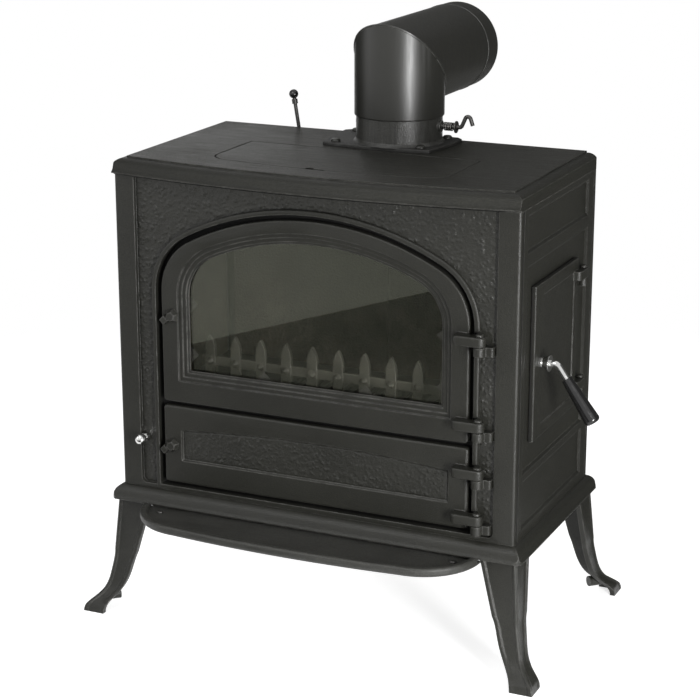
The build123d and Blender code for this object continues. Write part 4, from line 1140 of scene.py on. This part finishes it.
field_sheet = flat_sheet("field_sheet", FIELD_Y, FIELD_HALF, FIELD_Z, field_border)
panel_span = (PANEL_Z[0], PANEL_Z[1] + PANEL_RISE)
panel_sheet = flat_sheet("panel_sheet", PANEL_Y, PANEL_HALF, panel_span, panel_border)
hammered_skin("hammered_field", "front_plate", field_sheet, 0.0054, 0.0023, 1.0)
hammered_skin("hammered_panel", "ash_door", panel_sheet, 0.005, 0.0015, 2.0)


# Fence of lancet pickets

PICKETS = 10
PICKET_PITCH = 46.5
PICKET_HALF = 9.0
PICKET_T = 8.0
PICKET_FOOT = 372.0
PICKET_NECK = 460.0
PICKET_TIP = 486.0
FENCE_Y = -120.0
FENCE_EDGE = 0.8
RAIL_Z = (433.0, 449.0)
RAIL_T = 6.0
RAIL_SPARE = 16.0  # past the outer pickets' middles
BOSS_R = (7.0, 2.0)
BOSS_H = 8.0
BOSS_SUNK = 0.5
BOSS_SIDES = 8
ARC_STEPS = 6


def lancet():
    """Outline of one picket, from its foot round the pointed arch."""
    rise = PICKET_TIP - PICKET_NECK
    radius = (PICKET_HALF**2 + rise**2) / (2 * PICKET_HALF)
    sweep = math.asin(rise / radius)
    right = []
    for step in range(ARC_STEPS + 1):
        angle = sweep * step / ARC_STEPS
        across = PICKET_HALF - radius * (1 - math.cos(angle))
        right.append((across, PICKET_NECK + radius * math.sin(angle)))
    left = [(-across, height) for across, height in reversed(right[:-1])]
    return [(PICKET_HALF, PICKET_FOOT)] + right + left + [(-PICKET_HALF, PICKET_FOOT)]


def close_prism(form, near, far):
    """Walls between two rings of points, and a face over each ring."""
    form.faces.new(near)
    form.faces.new(far[::-1])
    for k in range(len(near)):
        after = (k + 1) % len(near)
        form.faces.new((near[k], far[k], far[after], near[after]))


def make_picket():
    """Flat lancet bar with a blunt pyramid boss at the rail."""
    form = bmesh.new()
    bar = [
        [form.verts.new((x, y, z)) for x, z in lancet()]
        for y in (-PICKET_T / 2, PICKET_T / 2)
    ]
    close_prism(form, *bar)
    boss_z = sum(RAIL_Z) / 2
    boss = []
    for radius, depth in zip(BOSS_R, (0.0, BOSS_H)):
        y = BOSS_SUNK - PICKET_T / 2 - depth
        turns = [math.tau * k / BOSS_SIDES for k in range(BOSS_SIDES)]
        ring = [
            (radius * math.cos(turn), y, boss_z + radius * math.sin(turn))
            for turn in turns
        ]
        boss.append([form.verts.new(at) for at in ring])
    close_prism(form, *boss)
    bmesh.ops.recalc_face_normals(form, faces=form.faces)
    bmesh.ops.scale(form, vec=(MM, MM, MM), verts=form.verts)
    mesh = bpy.data.meshes.new("picket")
    form.to_mesh(mesh)
    form.free()
    return keep("picket", mesh)


picket = make_picket()
reach = PICKET_PITCH * (PICKETS - 1) / 2
rail_size = (2 * (reach + RAIL_SPARE), RAIL_T, RAIL_Z[1] - RAIL_Z[0])
fence = grow(
    "lancet_fence",
    picket_tree,
    edge=FENCE_EDGE,
    Picket=picket,
    Count=PICKETS,
    First=Vector((-reach, FENCE_Y, 0.0)) * MM,
    Pitch=Vector((PICKET_PITCH, 0.0, 0.0)) * MM,
    Rail_Size=Vector(rail_size) * MM,
    Rail_Centre=Vector((0.0, FENCE_Y, sum(RAIL_Z) / 2)) * MM,
    Finish=fence_iron,
)
bpy.data.objects.remove(picket)
hand_over(fence, "log_fence")


# Fire boards

BOARDS = 2  # in each wall
BOARD_JOINT = 2.0
BOARD_T = 24.0
BOARD_Z = (372.5, 639.5)
BOARD_EDGE = 1.2


def board_wall(node, span, depth, along_x):
    """A row of boards between two ends, along X at a Y or along Y at an X."""
    pitch = (span[1] - span[0]) / BOARDS
    length = pitch - BOARD_JOINT
    height = BOARD_Z[1] - BOARD_Z[0]
    middle = sum(BOARD_Z) / 2
    first = span[0] + pitch / 2
    size = (length, BOARD_T, height) if along_x else (BOARD_T, length, height)
    start = (first, depth, middle) if along_x else (depth, first, middle)
    step = (pitch, 0.0, 0.0) if along_x else (0.0, pitch, 0.0)
    wall = grow(
        node + "_boards",
        board_tree,
        edge=BOARD_EDGE,
        Count=BOARDS,
        First=Vector(start) * MM,
        Pitch=Vector(step) * MM,
        Board=Vector(size) * MM,
        Finish=vermiculite,
    )
    hand_over(wall, node)


board_wall("brick_back", (-300.0, 300.0), 147.5, along_x=True)
board_wall("brick_left", (-140.0, 134.0), -323.5, along_x=False)


# Rope seals in the backs of the doors

ROPE_STEP = 2.5
ROPE_LAY = 14.0  # along the rope for one turn of its strands
STRAND_SHARE = 0.52
SEAL_CORNER = 5.0
CORNER_STEPS = 6
HAUNCH_STEPS = 10
CROWN_STEPS = 24
QUARTER = math.pi / 2
DOOR_ROPE = {"depth": -163.2, "sideways": 2.9, "across": 2.25}
SIDE_ROPE = {"depth": 348.2, "sideways": 2.4, "across": 1.75}


def arc_points(centre, radius, start, end, steps=CORNER_STEPS):
    angles = [start + (end - start) * k / steps for k in range(steps + 1)]
    return [
        (centre[0] + radius * math.cos(a), centre[1] + radius * math.sin(a))
        for a in angles
    ]


def rounded_frame(left, right, low, high):
    """Closed outline of a rectangle with small round corners."""
    r = SEAL_CORNER
    corners = [
        ((right - r, low + r), -QUARTER),
        ((right - r, high - r), 0.0),
        ((left + r, high - r), QUARTER),
        ((left + r, low + r), math.pi),
    ]
    path = []
    for centre, start in corners:
        path += arc_points(centre, r, start, start + QUARTER)
    return path


def arch_frame(arch, out, low):
    """Closed outline that follows an arch at a distance, down to a straight foot."""
    half, apex, crown, haunch = (value + out for value in arch)
    crown_z, spring = arch_centres(half, apex, crown, haunch)
    lean = math.atan2(spring - crown_z, half - haunch)
    r = SEAL_CORNER
    side = half - haunch
    path = arc_points((half - r, low + r), r, -QUARTER, 0.0)
    path += arc_points((side, spring), haunch, 0.0, lean, HAUNCH_STEPS)
    path += arc_points((0.0, crown_z), crown, lean, math.pi - lean, CROWN_STEPS)[1:]
    path += arc_points(
        (-side, spring), haunch, math.pi - lean, math.pi, HAUNCH_STEPS
    )[1:]
    path += arc_points((r - half, low + r), r, math.pi, math.pi * 1.5)
    return path


def rope_seal(node, outline, depth, sideways, across, facing_x=False):
    """Rope on a flat closed path; half sizes sideways and across its groove."""
    name = node + "_rope"
    if facing_x:
        points = [Vector((depth, u, v)) * MM for u, v in outline]
    else:
        points = [Vector((u, depth, v)) * MM for u, v in outline]
    count = len(points)
    edges = [(k, (k + 1) % count) for k in range(count)]
    length = sum((points[a] - points[b]).length for a, b in edges) / MM
    mesh = bpy.data.meshes.new(name)
    mesh.from_pydata(points, edges, [])
    strand = across * STRAND_SHARE
    rope = grow(
        name,
        rope_tree,
        mesh,
        Across=(1.0, 0.0, 0.0) if facing_x else (0.0, 1.0, 0.0),
        Strand_Radius=strand * MM,
        Lay_Sideways=(sideways - strand) * MM,
        Lay_Across=(across - strand) * MM,
        Turns=float(round(length / ROPE_LAY)),
        Steps=round(length / ROPE_STEP),
        Finish=glass_rope,
    )
    hand_over(rope, node)


fire_ring = arch_frame(GLASS_ARCH, out=16.0, low=388.5)
ash_ring = rounded_frame(-239.5, 239.5, 253.5, 356.5)
side_ring = rounded_frame(-113.5, 84.5, 379.0, 621.0)
rope_seal("fire_door_seal", fire_ring, **DOOR_ROPE)
rope_seal("ash_door_seal", ash_ring, **DOOR_ROPE)
rope_seal("side_door_seal", side_ring, **SIDE_ROPE, facing_x=True)


# Stage

AMBIENT = 0.3
FLOOR_GREY = 0.8
FLOOR_GLOW = 0.72
FLOOR_CLEAR = (1.1, 1.9)  # from the middle, where the floor melts into the backdrop
FLOOR_SPARE = 0.1
FLAG_WARMTH = 0.95
FLAG_LIFT = 0.004
GLASS_FLAG = [
    (-1.4, -0.77, FLAG_LIFT),
    (-0.45, -2.72, FLAG_LIFT),
    (0.8, -2.42, FLAG_LIFT),
    (-0.15, -0.47, FLAG_LIFT),
]
# Two opposite corners and the grey of the other cards
FLAGS = {
    "right_flag": ((2.7, -0.6, 0), (2.7, 3.2, 3.2), 0.24),
    "back_flag": ((-1.5, 3.0, 0.9), (0, 3.0, 3.2), 0.15),
    "corner_flag": ((0, 3.0, 0), (2.7, 3.0, 3.2), 0.14),
    "left_flag": ((-2.7, -0.6, 0), (-2.7, 2.4, 3.2), 0.05),
    "floor_flag_right": ((0.5, -0.1, FLAG_LIFT), (2.7, 3.0, FLAG_LIFT), 0.14),
    "floor_flag_back": ((-1.0, 0.45, FLAG_LIFT), (0.5, 3.0, FLAG_LIFT), 0.14),
}
CAMERA_AT = (1.3376, -2.9856, 1.4240)
CAMERA_DIP = 16.572  # degrees
CAMERA_TURN = 24.316
CAMERA_LENS = 105.04
CAMERA_SENSOR = 36.0


def lamp(name, azimuth, distance, height, size, power, aim=0.55, mirrored=True):
    """Soft box at an azimuth from the front, turned to a height on the stove's axis."""
    light = bpy.data.lights.new(name, "AREA")
    light.shape = "RECTANGLE"
    light.size, light.size_y = size
    light.energy = power
    made = keep(name, light)
    turn = math.radians(azimuth)
    made.location = (distance * math.sin(turn), -distance * math.cos(turn), height)
    look = Vector((0.0, 0.0, aim)) - made.location
    made.rotation_euler = look.to_track_quat("-Z", "Y").to_euler()
    made.visible_camera = False
    made.visible_glossy = mirrored


def white_backdrop_mask(tree):
    """1 for rays that see the backdrop itself, 0 for rays that carry its light."""
    path = add(tree, "ShaderNodeLightPath").outputs
    seen = maths(tree, "ADD", path["Is Camera Ray"], path["Is Transmission Ray"])
    return maths(tree, "ADD", seen, path["Is Glossy Ray"], clamp=True)


def make_world():
    world = bpy.data.worlds.new("studio")
    scene.world = world
    world.use_nodes = True
    tree = world.node_tree
    tree.nodes.clear()
    strength = remap(tree, white_backdrop_mask(tree), 0, 1, AMBIENT, 1.0)
    sky = add(tree, "ShaderNodeBackground", Color=(1, 1, 1, 1), Strength=strength)
    add(tree, "ShaderNodeOutputWorld", Surface=sky.outputs[0])


def stage_card(name, corners, material):
    """Flat four-cornered card with one material, put in the scene."""
    mesh = bpy.data.meshes.new(name)
    mesh.from_pydata(corners, [], [(0, 1, 2, 3)])
    mesh.materials.append(material)
    card = keep(name, mesh)
    return card


def four_corners(low, high):
    """Four corners of an upright or a flat card from two of them."""
    (x0, y0, z0), (x1, y1, z1) = low, high
    if z0 == z1:
        return [low, (x1, y0, z0), high, (x0, y1, z1)]
    return [low, (x1, y1, z0), high, (x0, y0, z1)]


def make_floor():
    """Pale floor that keeps the stove's shadow and melts into the white backdrop."""
    material, tree, surface = blank_material("pale_floor")
    grey = (FLOOR_GREY, FLOOR_GREY, FLOOR_GREY, 1)
    body = add(tree, "ShaderNodeBsdfDiffuse", Color=grey)
    strength = times(tree, white_backdrop_mask(tree), FLOOR_GLOW)
    glow = add(tree, "ShaderNodeEmission", Color=(1, 1, 1, 1), Strength=strength)
    both = tree.nodes.new("ShaderNodeAddShader")
    feed(tree, body.outputs[0], both.inputs[0])
    feed(tree, glow.outputs[0], both.inputs[1])
    away = add(tree, "ShaderNodeVectorMath", {"operation": "LENGTH"})
    feed(tree, place(tree), away.inputs[0])
    clear = remap(tree, away.outputs["Value"], *FLOOR_CLEAR, smooth=True)
    nothing = add(tree, "ShaderNodeBsdfTransparent")
    melt = tree.nodes.new("ShaderNodeMixShader")
    for slot, value in enumerate((clear, both.outputs[0], nothing.outputs[0])):
        feed(tree, value, melt.inputs[slot])
    feed(tree, melt.outputs[0], surface)
    reach = FLOOR_CLEAR[1] + FLOOR_SPARE
    corners = four_corners((-reach, -reach, 0), (reach, reach, 0))
    stage_card("floor", corners, material)


def make_flag(name, corners, grey):
    """Dark card that nothing sees but paint, metal and glass that mirror it."""
    material, tree, surface = blank_material(name)
    shade = (grey, grey, grey * FLAG_WARMTH, 1)
    cloth = add(tree, "ShaderNodeBsdfDiffuse", Color=shade)
    feed(tree, cloth.outputs[0], surface)
    flag = stage_card(name, corners, material)
    flag.visible_camera = False
    flag.visible_diffuse = False
    flag.visible_transmission = False
    flag.visible_shadow = False


def make_camera():
    data = bpy.data.cameras.new("camera")
    data.sensor_width = CAMERA_SENSOR
    data.lens = CAMERA_LENS
    camera = keep("camera", data)
    camera.location = CAMERA_AT
    camera.rotation_euler = (
        math.radians(90 - CAMERA_DIP),
        0.0,
        math.radians(CAMERA_TURN),
    )
    scene.camera = camera


make_world()
make_floor()
make_flag("glass_flag", GLASS_FLAG, 0.05)
for name, (low, high, grey) in FLAGS.items():
    make_flag(name, four_corners(low, high), grey)
make_camera()
lamp("right_strip", 50, 2.3, 0.52, size=(0.36, 1.0), power=58.0, aim=0.5)
lamp("left_window", -62, 3.0, 1.3, size=(1.8, 1.8), power=8.0)
lamp("soft_top", -12, 1.9, 2.5, size=(1.5, 1.1), power=21.0)
lamp("back_fill", 180, 3.2, 1.3, size=(2.0, 1.6), power=36.0, mirrored=False)
